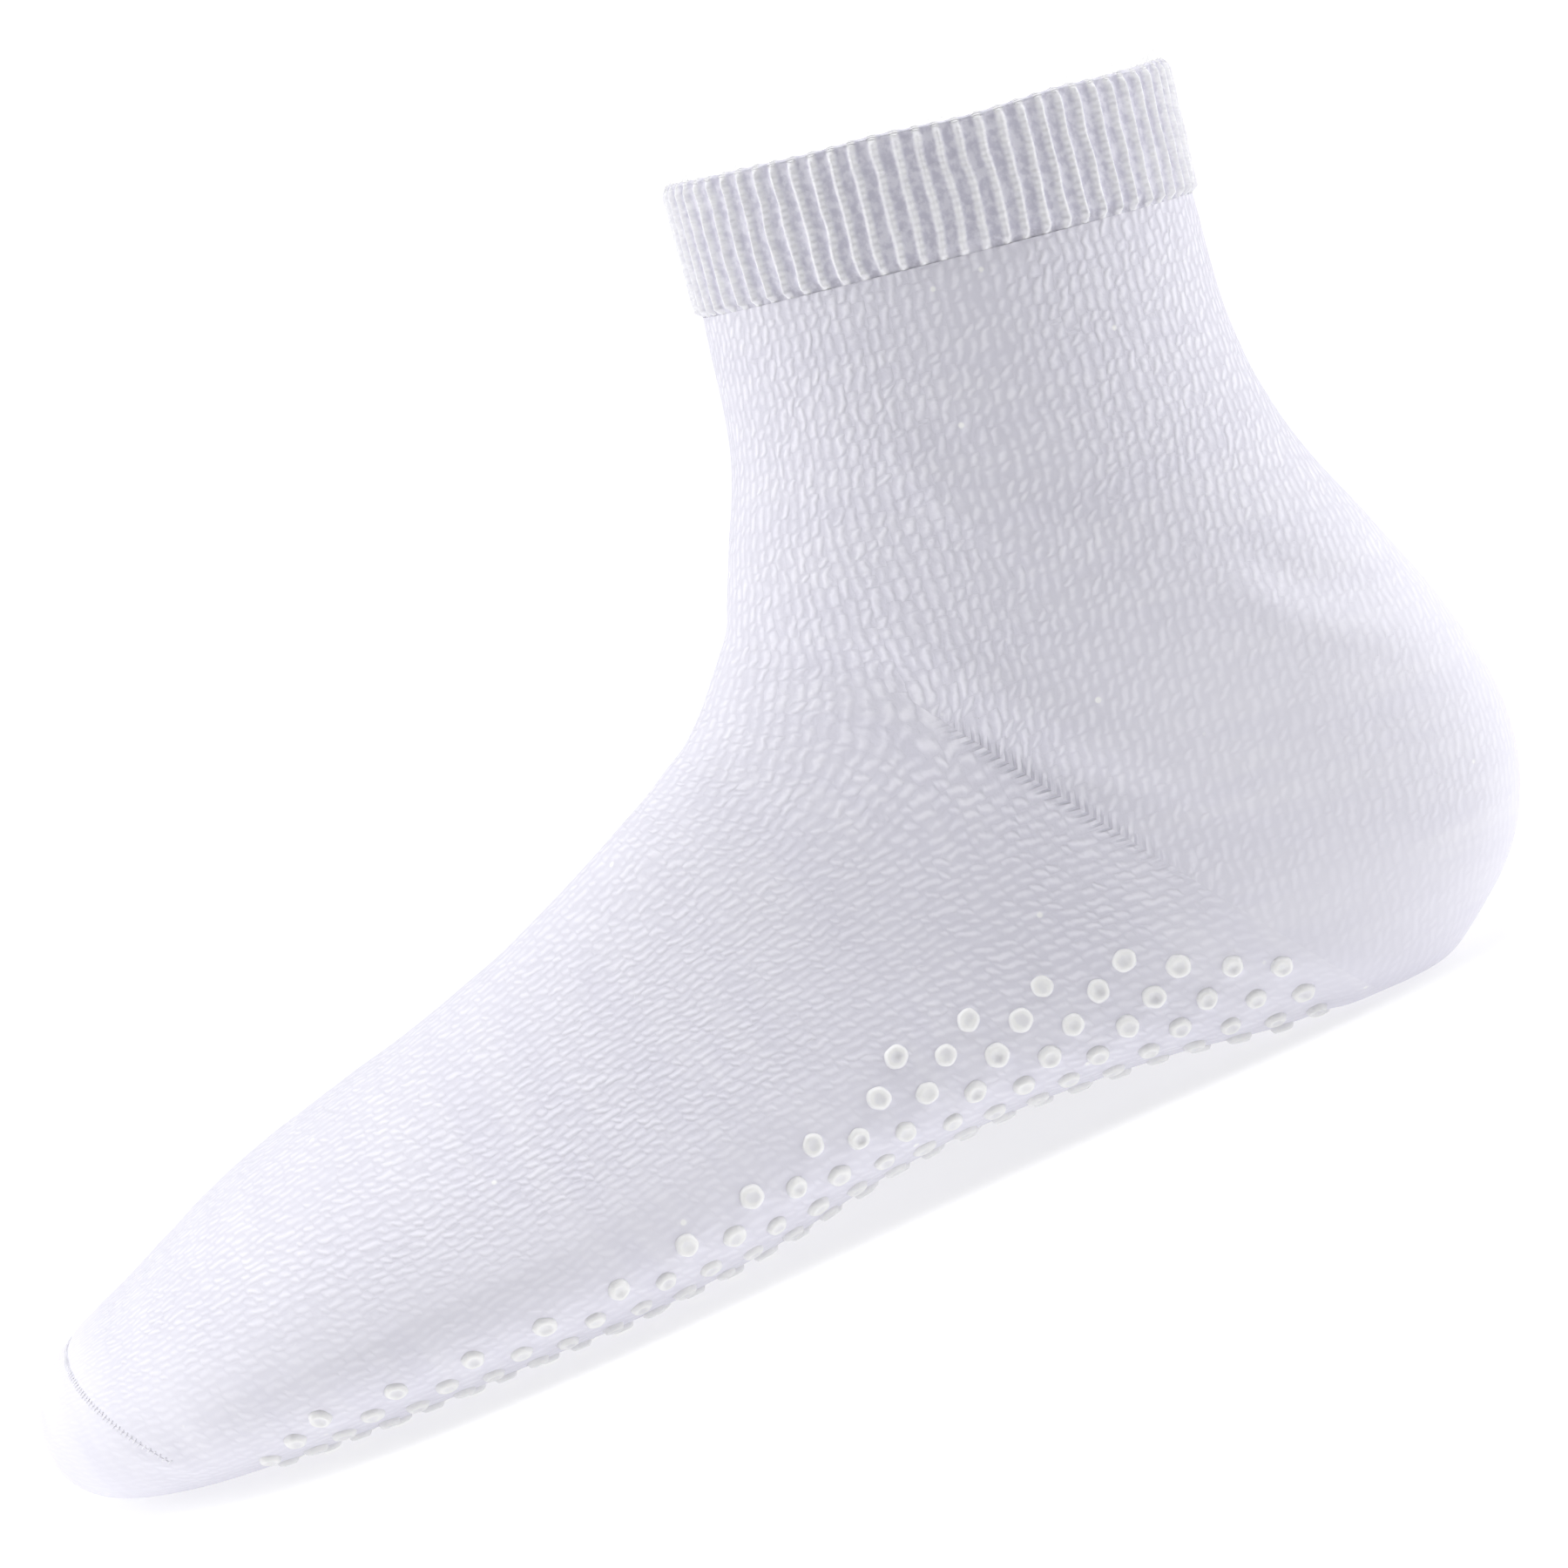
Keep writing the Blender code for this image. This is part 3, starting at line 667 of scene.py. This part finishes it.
chances = np.random.default_rng(11)
rib_of = np.arange(RIB_COUNT * POINTS_A_RIB) / POINTS_A_RIB
down = np.linspace(0, 1, CUFF_RINGS)
sway = np.zeros((CUFF_RINGS, len(rib_of)))
lift = np.zeros((CUFF_RINGS, len(rib_of)))
for ring in range(CUFF_RINGS):
    for rib in range(RIB_COUNT):
        where = Vector((rib * 0.35, down[ring] * 2.6, 4.0))
        loose = Vector((rib * 0.9, down[ring] * 4.5, 9.0))
        here = slice(rib * POINTS_A_RIB, (rib + 1) * POINTS_A_RIB)
        sway[ring, here] = 0.15 * noise.noise(where) + 0.10 * noise.noise(loose)
        lift[ring, here] = 0.16 * noise.noise(loose + Vector((0, 0, 7.0)))
sway = (np.roll(sway, 6, axis=1) + np.roll(sway, -6, axis=1) + 2 * sway) / 4
cuff_rings = []
for ring in range(CUFF_RINGS):
    rise = LEG_LENGTH - CUFF_HEIGHT * down[ring]
    low = ring_of_points(leg_section(rise), len(rib_of), CUFF_STEP)
    high = ring_of_points(leg_section(rise), len(rib_of), CUFF_STEP + RIB_HEIGHT)
    phase = (rib_of + sway[ring]) % 1.0
    ridge = np.exp(-((phase - 0.5) / 0.20) ** 2) * (1 + lift[ring])
    fade_top = smooth_step(-0.03, 0.05, down[ring])
    end_here = smooth_step(0.92 + 0.04 * ridge, 0.965 + 0.035 * ridge, down[ring])
    share = ridge * (0.35 + 0.65 * fade_top) * (1 - end_here) - END_SINK * end_here
    cuff_rings.append(low + (high - low) * share[:, None])
cuff_outside = np.array(cuff_rings)
rim_dip = -RIM_DIP * np.sin(rib_of / RIB_COUNT * 2 * math.pi) ** 2
rim_wave = np.array([RIM_WAVE * noise.noise(Vector((rib * 0.22, 2.0, 5.0))) for rib in rib_of])
leg_up = np.array(Vector((math.sin(LEG_LEAN), 0, math.cos(LEG_LEAN))))
rim_shape = (rim_dip + rim_wave)[None, :] * smooth_step(0.5, 0.0, down)[:, None]
cuff_outside = cuff_outside + rim_shape[:, :, None] * leg_up
turn_in = []
for step in np.linspace(0, math.pi, RIM_RINGS)[1:]:
    inward = (1 - math.cos(step)) / 2
    proud = CUFF_STEP + RIM_ROLL - inward * (CUFF_WALL + LINING_SINK)
    rolled = ring_of_points(leg_section(LEG_LENGTH), len(rib_of), proud)
    ridge = np.exp(-(((rib_of + sway[0]) % 1.0 - 0.5) / 0.22) ** 2)
    lifted = math.sin(step) * RIM_HEIGHT + ridge * RIM_RIB_HEIGHT * math.sin(step)
    turn_in.append(rolled + (rim_shape[0] + lifted)[:, None] * leg_up)
inner = []
for part in np.linspace(0, 1, LINING_RINGS)[1:]:
    rise = LEG_LENGTH - (CUFF_HEIGHT + LINING_BELOW) * part
    ring = ring_of_points(leg_section(rise), len(rib_of), CUFF_STEP + RIM_ROLL - CUFF_WALL - LINING_SINK)
    beside = sway[min(int(part * CUFF_RINGS), CUFF_RINGS - 1)]
    furrow = np.exp(-(((rib_of + beside) % 1.0 - 0.5) / 0.25) ** 2)
    outward = ring_of_points(leg_section(rise), len(rib_of), CUFF_STEP) - ring
    outward /= np.linalg.norm(outward, axis=1, keepdims=True)
    ring = ring + outward * (furrow * FURROW_DEPTH)[:, None]
    inner.append(ring + (rim_shape[0] * (1 - part))[:, None] * leg_up)
cuff_grid = np.concatenate([np.array(inner)[::-1], np.array(turn_in)[::-1], cuff_outside])
cuff = mesh_piece("rib_cuff_knit", cuff_grid)
phase_all = np.concatenate([
    np.broadcast_to((rib_of + sway[0])[None, :], (len(inner) + len(turn_in), len(rib_of))),
    rib_of[None, :] + sway,
])
height_walk = np.concatenate([
    np.linspace(-1, 0, len(inner) + len(turn_in), endpoint=False),
    down,
])[:, None] * np.ones((1, len(rib_of)))
lay_on_faces(
    cuff, "rib_place",
    corners_of(phase_all, RIB_COUNT),
    corners_of(height_walk * CUFF_HEIGHT / COURSE_STEP),
    corners_of(height_walk),
)


def cotton_rib():
    """Rib fabric: bright standing wales of V stitches, with nubbly sunk wales between in painted shade
    and painted shadow at the lower edge.
    """
    n = Nodes(bpy.data.materials.new("cotton_rib"))
    place = n.place()
    rib, course, walk = n.kept("rib_place")
    wobble = n.jitter(place, 320.0, 0.5, 2.0)
    phase = n.maths("FRACT", n.add(rib, n.times(wobble, 0.12)))
    off_ridge = n.maths("ABSOLUTE", n.less(phase, 0.5))
    is_ridge = n.ramp(off_ridge, 0.10, 0.30, 1.0, 0.0)
    nubs = n.noise(place, 850.0, 2.0)
    own = n.chance(n.maths("FLOOR", rib), 0.0, 0.0)
    beads = n.maths("SINE", n.times(n.add(course, own), 2 * math.pi))
    crest_height = n.add(n.times(beads, 0.28), n.times(nubs, 0.6))
    height = n.mix(is_ridge, nubs, crest_height)
    n.put(n.shader.inputs["Normal"], n.bump(height, 0.00024))
    # Painted shade: the sunk wales are coloured darker than the standing ones, and darker still along
    # the cuff's lower edge as a painted shadow in the hollows between the ribs.
    shaded_valley = n.blend_colour(n.ramp(nubs, 0.35, 0.65), (0.61, 0.60, 0.70), (0.765, 0.757, 0.84))
    hollow_shadow = n.times(n.ramp(walk, 0.90, 0.965), n.ramp(nubs, 0.30, 0.60, 1.0, 0.35))
    shaded_valley = n.blend_colour(hollow_shadow, shaded_valley, (0.50, 0.49, 0.57))
    crest = n.blend_colour(n.ramp(nubs, 0.3, 0.7), (0.86, 0.856, 0.905), (0.93, 0.928, 0.955))
    n.put(n.shader.inputs["Base Color"], n.blend_colour(is_ridge, shaded_valley, crest))
    n.shader.inputs["Roughness"].default_value = 0.92
    n.shader.inputs["Specular IOR Level"].default_value = 0.25
    n.shader.inputs["Sheen Weight"].default_value = 0.25
    n.shader.inputs["Sheen Roughness"].default_value = 0.5
    return n.owner


rib_cotton = cotton_rib()
cuff.data.materials.append(rib_cotton)
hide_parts("rib_cuff")
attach(cuff, "root")


# Toe seam: the open end of the tube linked shut over the front of the toes, loop to loop, with a
# fine cotton thread. The loops lie half sunk in the trough that they draw in.

THREAD_RADIUS = 0.00013
TUBE_SIDES = 6
LINK_STEP = 0.0010
LINK_REACH = 0.00055
LINK_SLANT = 0.35
LINK_BOW = 0.00010
LINK_SINK = 0.00004
THREAD_SINK = 0.00002


def cut_across(grid, facing, where, slope):
    """The line round a form in a plane that leans forward, from the sole's middle, with normals."""
    lean = FOOT_LENGTH / 2 - grid[:, :, 0] - grid[:, :, 2] * math.tan(slope) - where
    line, outward = [], []
    for column in range(grid.shape[1]):
        crossed = np.nonzero(lean[:-1, column] < 0)[0]
        behind = crossed[-1] if len(crossed) else 0
        share = lean[behind, column] / (lean[behind, column] - lean[behind + 1, column])
        share = min(max(share, 0), 1)
        line.append(grid[behind, column] * (1 - share) + grid[behind + 1, column] * share)
        outward.append(facing[behind, column])
    return np.array(line), np.array(outward)


def tube_mesh(name, paths, radius, sides):
    """Many thin tubes in one mesh, each along its own points."""
    corners, faces = [], []
    for path in paths:
        path = np.asarray(path)
        ways = np.gradient(path, axis=0)
        ways /= np.maximum(np.linalg.norm(ways, axis=1, keepdims=True), 1e-9)
        side_way = np.cross(ways, np.array([0.31, 0.52, 0.79]))
        side_way /= np.linalg.norm(side_way, axis=1, keepdims=True)
        other_way = np.cross(ways, side_way)
        first = len(corners)
        for point, one, two in zip(path, side_way, other_way):
            for k in range(sides):
                turn = 2 * math.pi * k / sides
                corners.append(point + radius * (math.cos(turn) * one + math.sin(turn) * two))
        for k in range(len(path) - 1):
            for s in range(sides):
                low, high = first + k * sides, first + (k + 1) * sides
                faces.append((low + s, low + (s + 1) % sides, high + (s + 1) % sides, high + s))
        faces.append(tuple(first + s for s in reversed(range(sides))))
        faces.append(tuple(first + (len(path) - 1) * sides + s for s in range(sides)))
    return add_mesh(name, corners, faces)


knit_normals = outward_normals(knit)
seam_line, seam_outward = cut_across(knit, knit_normals, seam_along, SEAM_SLOPE)
over = seam_line[:, 2] > SEAM_END_UP - 0.001
seam_line, seam_outward = seam_line[over], seam_outward[over]
walked = np.concatenate([[0], np.cumsum(np.linalg.norm(np.diff(seam_line, axis=0), axis=1))])
link_places = np.arange(0, walked[-1], LINK_STEP)
seam_points, seam_normals = (
    np.stack([np.interp(link_places, walked, table[:, k]) for k in range(3)], axis=-1)
    for table in (seam_line, seam_outward)
)
seam_normals /= np.linalg.norm(seam_normals, axis=1, keepdims=True)
seam_ways = np.gradient(seam_points, axis=0)
seam_ways /= np.linalg.norm(seam_ways, axis=1, keepdims=True)
across_ways = np.cross(seam_normals, seam_ways)
links = []
places_on_seam = zip(seam_points, seam_normals, seam_ways, across_ways)
for number, (point, normal, way, across_way) in enumerate(places_on_seam):
    turn = np.linspace(-1, 1, 7)
    slant = LINK_SLANT + 0.1 * noise.noise(Vector((number * 0.7, 1.0, 0.0)))
    bow = LINK_BOW * (1 - turn**2)
    links.append([
        point + across_way * t * LINK_REACH + way * t * slant * LINK_STEP + normal * (b - LINK_SINK)
        for t, b in zip(turn, bow)
    ])
toe_links = tube_mesh("toe_seam_links", links, THREAD_RADIUS, TUBE_SIDES)
thread_path = seam_points - seam_normals * THREAD_SINK
toe_thread = tube_mesh("toe_seam_thread", [thread_path], THREAD_RADIUS, TUBE_SIDES)


def linking_thread():
    """Fine twisted cotton thread, a little smoother than the knit."""
    n = Nodes(bpy.data.materials.new("linking_thread"))
    place = n.place()
    twist = n.noise(place, 2600.0, 2.0)
    n.put(n.shader.inputs["Normal"], n.bump(twist, 0.0001))
    # Painted shade: the colour is darker in the low grooves of the twist.
    colour = n.blend_colour(n.ramp(twist, 0.3, 0.7), (0.82, 0.814, 0.88), (0.89, 0.885, 0.93))
    n.put(n.shader.inputs["Base Color"], colour)
    n.shader.inputs["Roughness"].default_value = 0.85
    n.shader.inputs["Specular IOR Level"].default_value = 0.25
    return n.owner


thread_look = linking_thread()
for piece in (toe_links, toe_thread):
    piece.data.materials.append(thread_look)
    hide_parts("toe_seam")
    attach(piece, "root")


# Grip dots: silicone printed on the underside in staggered rows that lean forward and wrap a little
# way up each side. Each dot cures as a low milky bead with a dimple where the print sinks in.

DOT_WIDTH = 0.0034
DOT_PITCH = 0.0067
PRINT_BEHIND_TOE = 0.036
PRINT_REACH = 0.043
PRINT_STRETCH = 0.3
PRINT_CORNER = 0.013
PRINT_LEAN = math.radians(16)
DOT_SIDES = 24
DOTS_A_SIDE = 12
DOT_STRAY = 0.00012
DOT_SINK = 0.00005
DOT_ABOVE_FLOOR = 0.00001
DIMPLE_EDGE = 0.6
DIMPLE_DEPTH = 0.44

# each ring of a dot from its foot to its dimple: share of the half width, share of the height
DOT_PROFILE = (
    (1.04, -0.35), (1.02, 0.05), (0.96, 0.45), (0.84, 0.82),
    (0.70, 1.0), (0.54, 0.93), (0.34, 0.70), (0.16, 0.58),
)

# the print's upper edge on each side: along the foot, and height above the floor
PRINT_TOP = (
    (0.041, 0.002), (0.051, 0.012), (0.060, 0.020), (0.073, 0.0255), (0.094, 0.0245),
    (0.116, 0.0195), (0.138, 0.0130), (0.162, 0.0095), (0.195, 0.0030), (0.209, 0.0015),
)


def dot_places():
    """Places and facings of the dots, row by row, from the sole's middle up to the print's edge."""
    row_step = DOT_PITCH * math.sqrt(3) / 2
    print_end = FOOT_LENGTH - PRINT_BEHIND_TOE
    found = []
    for row in range(int((print_end - PRINT_START) / row_step) + 1):
        where = PRINT_START + row * row_step
        line, outward = cut_across(form, normals, where, PRINT_LEAN)
        stretch = 1 + PRINT_STRETCH * max(np.ptp(line[:, 1]) / HEEL_WIDTH - 1, 0)
        from_end = min(where - PRINT_START, print_end - where)
        reach = PRINT_REACH - max(0, PRINT_CORNER - from_end) / math.sqrt(3)
        offset = DOT_PITCH / 2 * (row % 2)
        half_round = len(line) // 2
        for turn in (1, -1):
            order = np.arange(0, turn * half_round, turn) % len(line)
            points, facings = line[order], outward[order]
            went = np.concatenate([[0], np.cumsum(np.linalg.norm(np.diff(points, axis=0), axis=1))])
            for number in range(DOTS_A_SIDE):
                if turn < 0 and offset == 0 and number == 0:
                    continue
                spot = (number * DOT_PITCH + offset) * stretch
                point = np.array([np.interp(spot, went, points[:, k]) for k in range(3)])
                edge = np.interp(FOOT_LENGTH / 2 - point[0], *zip(*PRINT_TOP))
                if number * DOT_PITCH + offset > reach and (spot > went[-1] or point[2] > edge):
                    break
                facing = np.array([np.interp(spot, went, facings[:, k]) for k in range(3)])
                found.append((point, facing / np.linalg.norm(facing)))
    return found


dot_corners, dot_faces, from_middle = [], [], []
for point, facing in dot_places():
    lengthwise = np.cross(facing, np.array([0.0, 1.0, 0.0]))
    if np.linalg.norm(lengthwise) < 0.2:
        lengthwise = np.cross(facing, np.array([0.0, 0.0, 1.0]))
    lengthwise /= np.linalg.norm(lengthwise)
    crosswise = np.cross(facing, lengthwise)
    size = 1 + 0.07 * chances.uniform(-1, 1)
    tall = 1 + 0.10 * chances.uniform(-1, 1)
    dimple = chances.uniform(0.3, 1.15)
    lobe = chances.uniform(0, 2 * math.pi)
    oval = chances.uniform(0.0, 0.06)
    first = len(dot_corners)
    nudge = lengthwise * chances.normal(0, DOT_STRAY) + crosswise * chances.normal(0, DOT_STRAY)
    middle = point + nudge - facing * DOT_SINK
    for share, level in DOT_PROFILE:
        for s in range(DOT_SIDES):
            turn = 2 * math.pi * s / DOT_SIDES
            ragged = 1 + oval * math.cos(2 * (turn - lobe)) + 0.025 * math.cos(5 * turn + lobe * 3)
            reach = DOT_WIDTH / 2 * share * size * ragged
            height = level * DOT_HEIGHT * tall
            if share < DIMPLE_EDGE:
                height = DOT_HEIGHT * tall * (1 - (1 - level) * dimple)
            way = lengthwise * math.cos(turn) + crosswise * math.sin(turn)
            corner = middle + facing * height + reach * way
            corner[2] = max(corner[2], DOT_ABOVE_FLOOR)
            dot_corners.append(corner)
            from_middle.append((share, 0.0, 0.0))
    bottom = middle + facing * DOT_HEIGHT * tall * (1 - DIMPLE_DEPTH * dimple)
    bottom[2] = max(bottom[2], DOT_ABOVE_FLOOR)
    dot_corners.append(bottom)
    from_middle.append((0.0, 0.0, 0.0))
    for k in range(len(DOT_PROFILE) - 1):
        for s in range(DOT_SIDES):
            low, high = first + k * DOT_SIDES, first + (k + 1) * DOT_SIDES
            dot_faces.append((low + s, low + (s + 1) % DOT_SIDES, high + (s + 1) % DOT_SIDES, high + s))
    last = first + (len(DOT_PROFILE) - 1) * DOT_SIDES
    for s in range(DOT_SIDES):
        dot_faces.append((last + s, last + (s + 1) % DOT_SIDES, len(dot_corners) - 1))
dots = add_mesh("grip_dots", dot_corners, dot_faces)
from_middle_kept = dots.data.attributes.new("from_middle", "FLOAT_VECTOR", "POINT")
from_middle_kept.data.foreach_set("vector", np.ravel(from_middle))


def clear_silicone():
    """Milky clear silicone: the knit shows faintly through, with a soft shine on top and a painted
    highlight ring along each dot's crest.
    """
    n = Nodes(bpy.data.materials.new("clear_silicone"))
    place = n.place()
    cloud = n.noise(place, 420.0, 3.0)
    grain = n.noise(place, 1800.0, 2.0)
    n.put(n.shader.inputs["Normal"], n.bump(grain, 0.00006, 0.6))
    share = n.kept("from_middle")[0]
    ragged = n.add(share, n.times(n.less(cloud, 0.5), 0.9))
    # Painted highlight: a whiter ring along each dot's crest, between its dimple and its foot.
    crest_highlight = n.times(n.ramp(ragged, 0.30, 0.66), n.ramp(ragged, 0.84, 1.04, 1.0, 0.0))
    thin = n.blend_colour(n.ramp(cloud, 0.35, 0.65), (0.825, 0.822, 0.852), (0.885, 0.885, 0.895))
    n.put(n.shader.inputs["Base Color"], n.blend_colour(crest_highlight, thin, (0.93, 0.93, 0.925)))
    n.put(n.shader.inputs["Roughness"], n.ramp(grain, 0.3, 0.7, 0.28, 0.42))
    n.shader.inputs["IOR"].default_value = 1.41
    n.shader.inputs["Subsurface Weight"].default_value = 0.35
    n.shader.inputs["Subsurface Radius"].default_value = (1.0, 1.0, 1.0)
    n.shader.inputs["Subsurface Scale"].default_value = 0.0008
    return n.owner


silicone = clear_silicone()
dots.data.materials.append(silicone)
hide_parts("knit_body")
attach(dots, "root")


# Loose fibres: short ends of cotton that have worked out of the yarn and stand off the knit. They
# are closest together round the rim, and thinly scattered over the rest.

FIBRES = 520
RIM_FIBRES = 200
FIBRE_RADIUS = 0.000018

fibre_paths = []
for number in range(FIBRES):
    if number < RIM_FIBRES:
        column = int(chances.integers(0, len(rib_of)))
        start = turn_in[int(chances.integers(1, 5))][column]
        outward = leg_up * chances.uniform(0.3, 1.0)
    else:
        ring = int(chances.integers(4, BODY_RINGS - 8))
        column = int(chances.integers(0, BODY_COLUMNS))
        start = knit[ring, column]
        outward = knit_normals[ring, column]
        if start[2] < 0.012:
            continue
    drift = chances.normal(0, 1, 3)
    drift /= np.linalg.norm(drift)
    long = chances.uniform(0.0006, 0.0016)
    curl = chances.normal(0, 0.5, 3)
    steps = np.linspace(0, 1, 5)[:, None]
    heading = outward * 0.8 + drift * 0.6
    fibre_paths.append(start + heading * long * steps + curl * long * steps**2 * 0.5)
fibres = tube_mesh("loose_fibres", fibre_paths, FIBRE_RADIUS, 3)
fibre_look = Nodes(bpy.data.materials.new("cotton_fibre"))
fibre_tone = fibre_look.noise(fibre_look.place(), 500.0)
fibre_look.put(
    fibre_look.shader.inputs["Base Color"],
    fibre_look.blend_colour(fibre_tone, (0.86, 0.86, 0.88), (0.95, 0.95, 0.96)),
)
fibre_look.shader.inputs["Roughness"].default_value = 0.7
fibres.data.materials.append(fibre_look.owner)
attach(fibres, "root")


# Floor, light and camera: a wide white floor that runs out of sight, a big soft light overhead and
# two at the sides. The camera is rolled, so the sole climbs to the right as in the photograph.

FLOOR_SIDES = 96
FLOOR_RADII = (0.02, 0.2, 0.6, 1.0, 1.6)

floor_turns = [2 * math.pi * k / FLOOR_SIDES for k in range(FLOOR_SIDES)]
floor_rings = np.array([
    [(radius * math.cos(turn), radius * math.sin(turn), 0.0) for turn in floor_turns]
    for radius in FLOOR_RADII
])
floor = mesh_piece("floor", floor_rings[::-1], tip=np.array([0.0, 0.0, 0.0]))
floor_look = Nodes(bpy.data.materials.new("pale_floor"))
floor_tone = floor_look.noise(floor_look.place(), 6.0)
floor_look.put(
    floor_look.shader.inputs["Base Color"],
    floor_look.blend_colour(floor_tone, (0.56, 0.56, 0.56), (0.58, 0.58, 0.58)),
)
floor_look.shader.inputs["Roughness"].default_value = 0.9
floor_look.shader.inputs["Emission Color"].default_value = (1.0, 1.0, 1.0, 1.0)
floor_look.shader.inputs["Emission Strength"].default_value = 0.50
floor.data.materials.append(floor_look.owner)

# White walls stand at the toe's end, at the heel's end and overhead. The sock's two sides face a
# dimmer room, so that the knit shades gently toward the middle of each side.
WALL_GLOW = 2.78
ROOM_GLOW = 0.05
BACKDROP_GLOW = 1.1

world = bpy.data.worlds.new("studio")
bpy.context.scene.world = world
room = Nodes(world)
split_way = room.tree.nodes.new("ShaderNodeSeparateXYZ")
room.put(split_way.inputs[0], room.tree.nodes.new("ShaderNodeTexCoord").outputs["Generated"])
end_on = room.less(1.0, room.maths("ABSOLUTE", split_way.outputs[1]))
glow = room.times(room.maths("POWER", end_on, 3.0), WALL_GLOW)
background = room.tree.nodes["Background"]
background.inputs["Color"].default_value = (1.0, 1.0, 1.0, 1.0)
room.put(background.inputs["Strength"], room.add(glow, ROOM_GLOW))
backdrop = room.tree.nodes.new("ShaderNodeBackground")
backdrop.inputs["Color"].default_value = (1.0, 1.0, 1.0, 1.0)
backdrop.inputs["Strength"].default_value = BACKDROP_GLOW
choose = room.tree.nodes.new("ShaderNodeMixShader")
room.put(choose.inputs[0], room.tree.nodes.new("ShaderNodeLightPath").outputs["Is Camera Ray"])
room.put(choose.inputs[1], background.outputs[0])
room.put(choose.inputs[2], backdrop.outputs[0])
room.put(room.tree.nodes["World Output"].inputs["Surface"], choose.outputs[0])


def soft_light(name, place, aim, width, watts):
    """A square white lamp, turned toward a point and out of the camera's sight."""
    light = bpy.data.lights.new(name, "AREA")
    light.shape = "SQUARE"
    light.size = width
    light.energy = watts
    lamp = bpy.data.objects.new(name, light)
    lamp.location = place
    lamp.rotation_euler = (Vector(aim) - Vector(place)).to_track_quat("-Z", "Y").to_euler()
    lamp.visible_camera = False
    bpy.context.scene.collection.objects.link(lamp)


soft_light("overhead", (0.0, 0.3, 2.6), (0, 0, 0), 3.2, 27)
soft_light("toe_side", (-1.5, 0.15, 0.6), (0, 0, 0.06), 1.2, 4)
soft_light("heel_side", (1.5, 0.30, 0.5), (0, 0, 0.06), 1.2, 4.5)

bpy.context.scene.view_settings.view_transform = "Standard"
bpy.context.scene.view_settings.look = "None"

camera_data = bpy.data.cameras.new("camera")
camera_data.lens = 112
camera_data.sensor_width = 36
camera_data.clip_start = 0.05
camera = bpy.data.objects.new("camera", camera_data)
bpy.context.scene.collection.objects.link(camera)
azimuth = math.radians(2)
elevation = math.radians(6.5)
roll = math.radians(23.5)
distance = 0.72
target = Vector((0.0205, 0, 0.0605))
level = math.cos(elevation)
back = Vector((math.sin(azimuth) * level, -math.cos(azimuth) * level, math.sin(elevation)))
level_right = Vector((math.cos(azimuth), math.sin(azimuth), 0))
level_up = back.cross(level_right)
right = level_right * math.cos(roll) - level_up * math.sin(roll)
up_way = level_right * math.sin(roll) + level_up * math.cos(roll)
facing_way = Matrix((right, up_way, back)).transposed().to_4x4()
camera.matrix_world = Matrix.Translation(target + back * distance) @ facing_way
bpy.context.scene.camera = camera
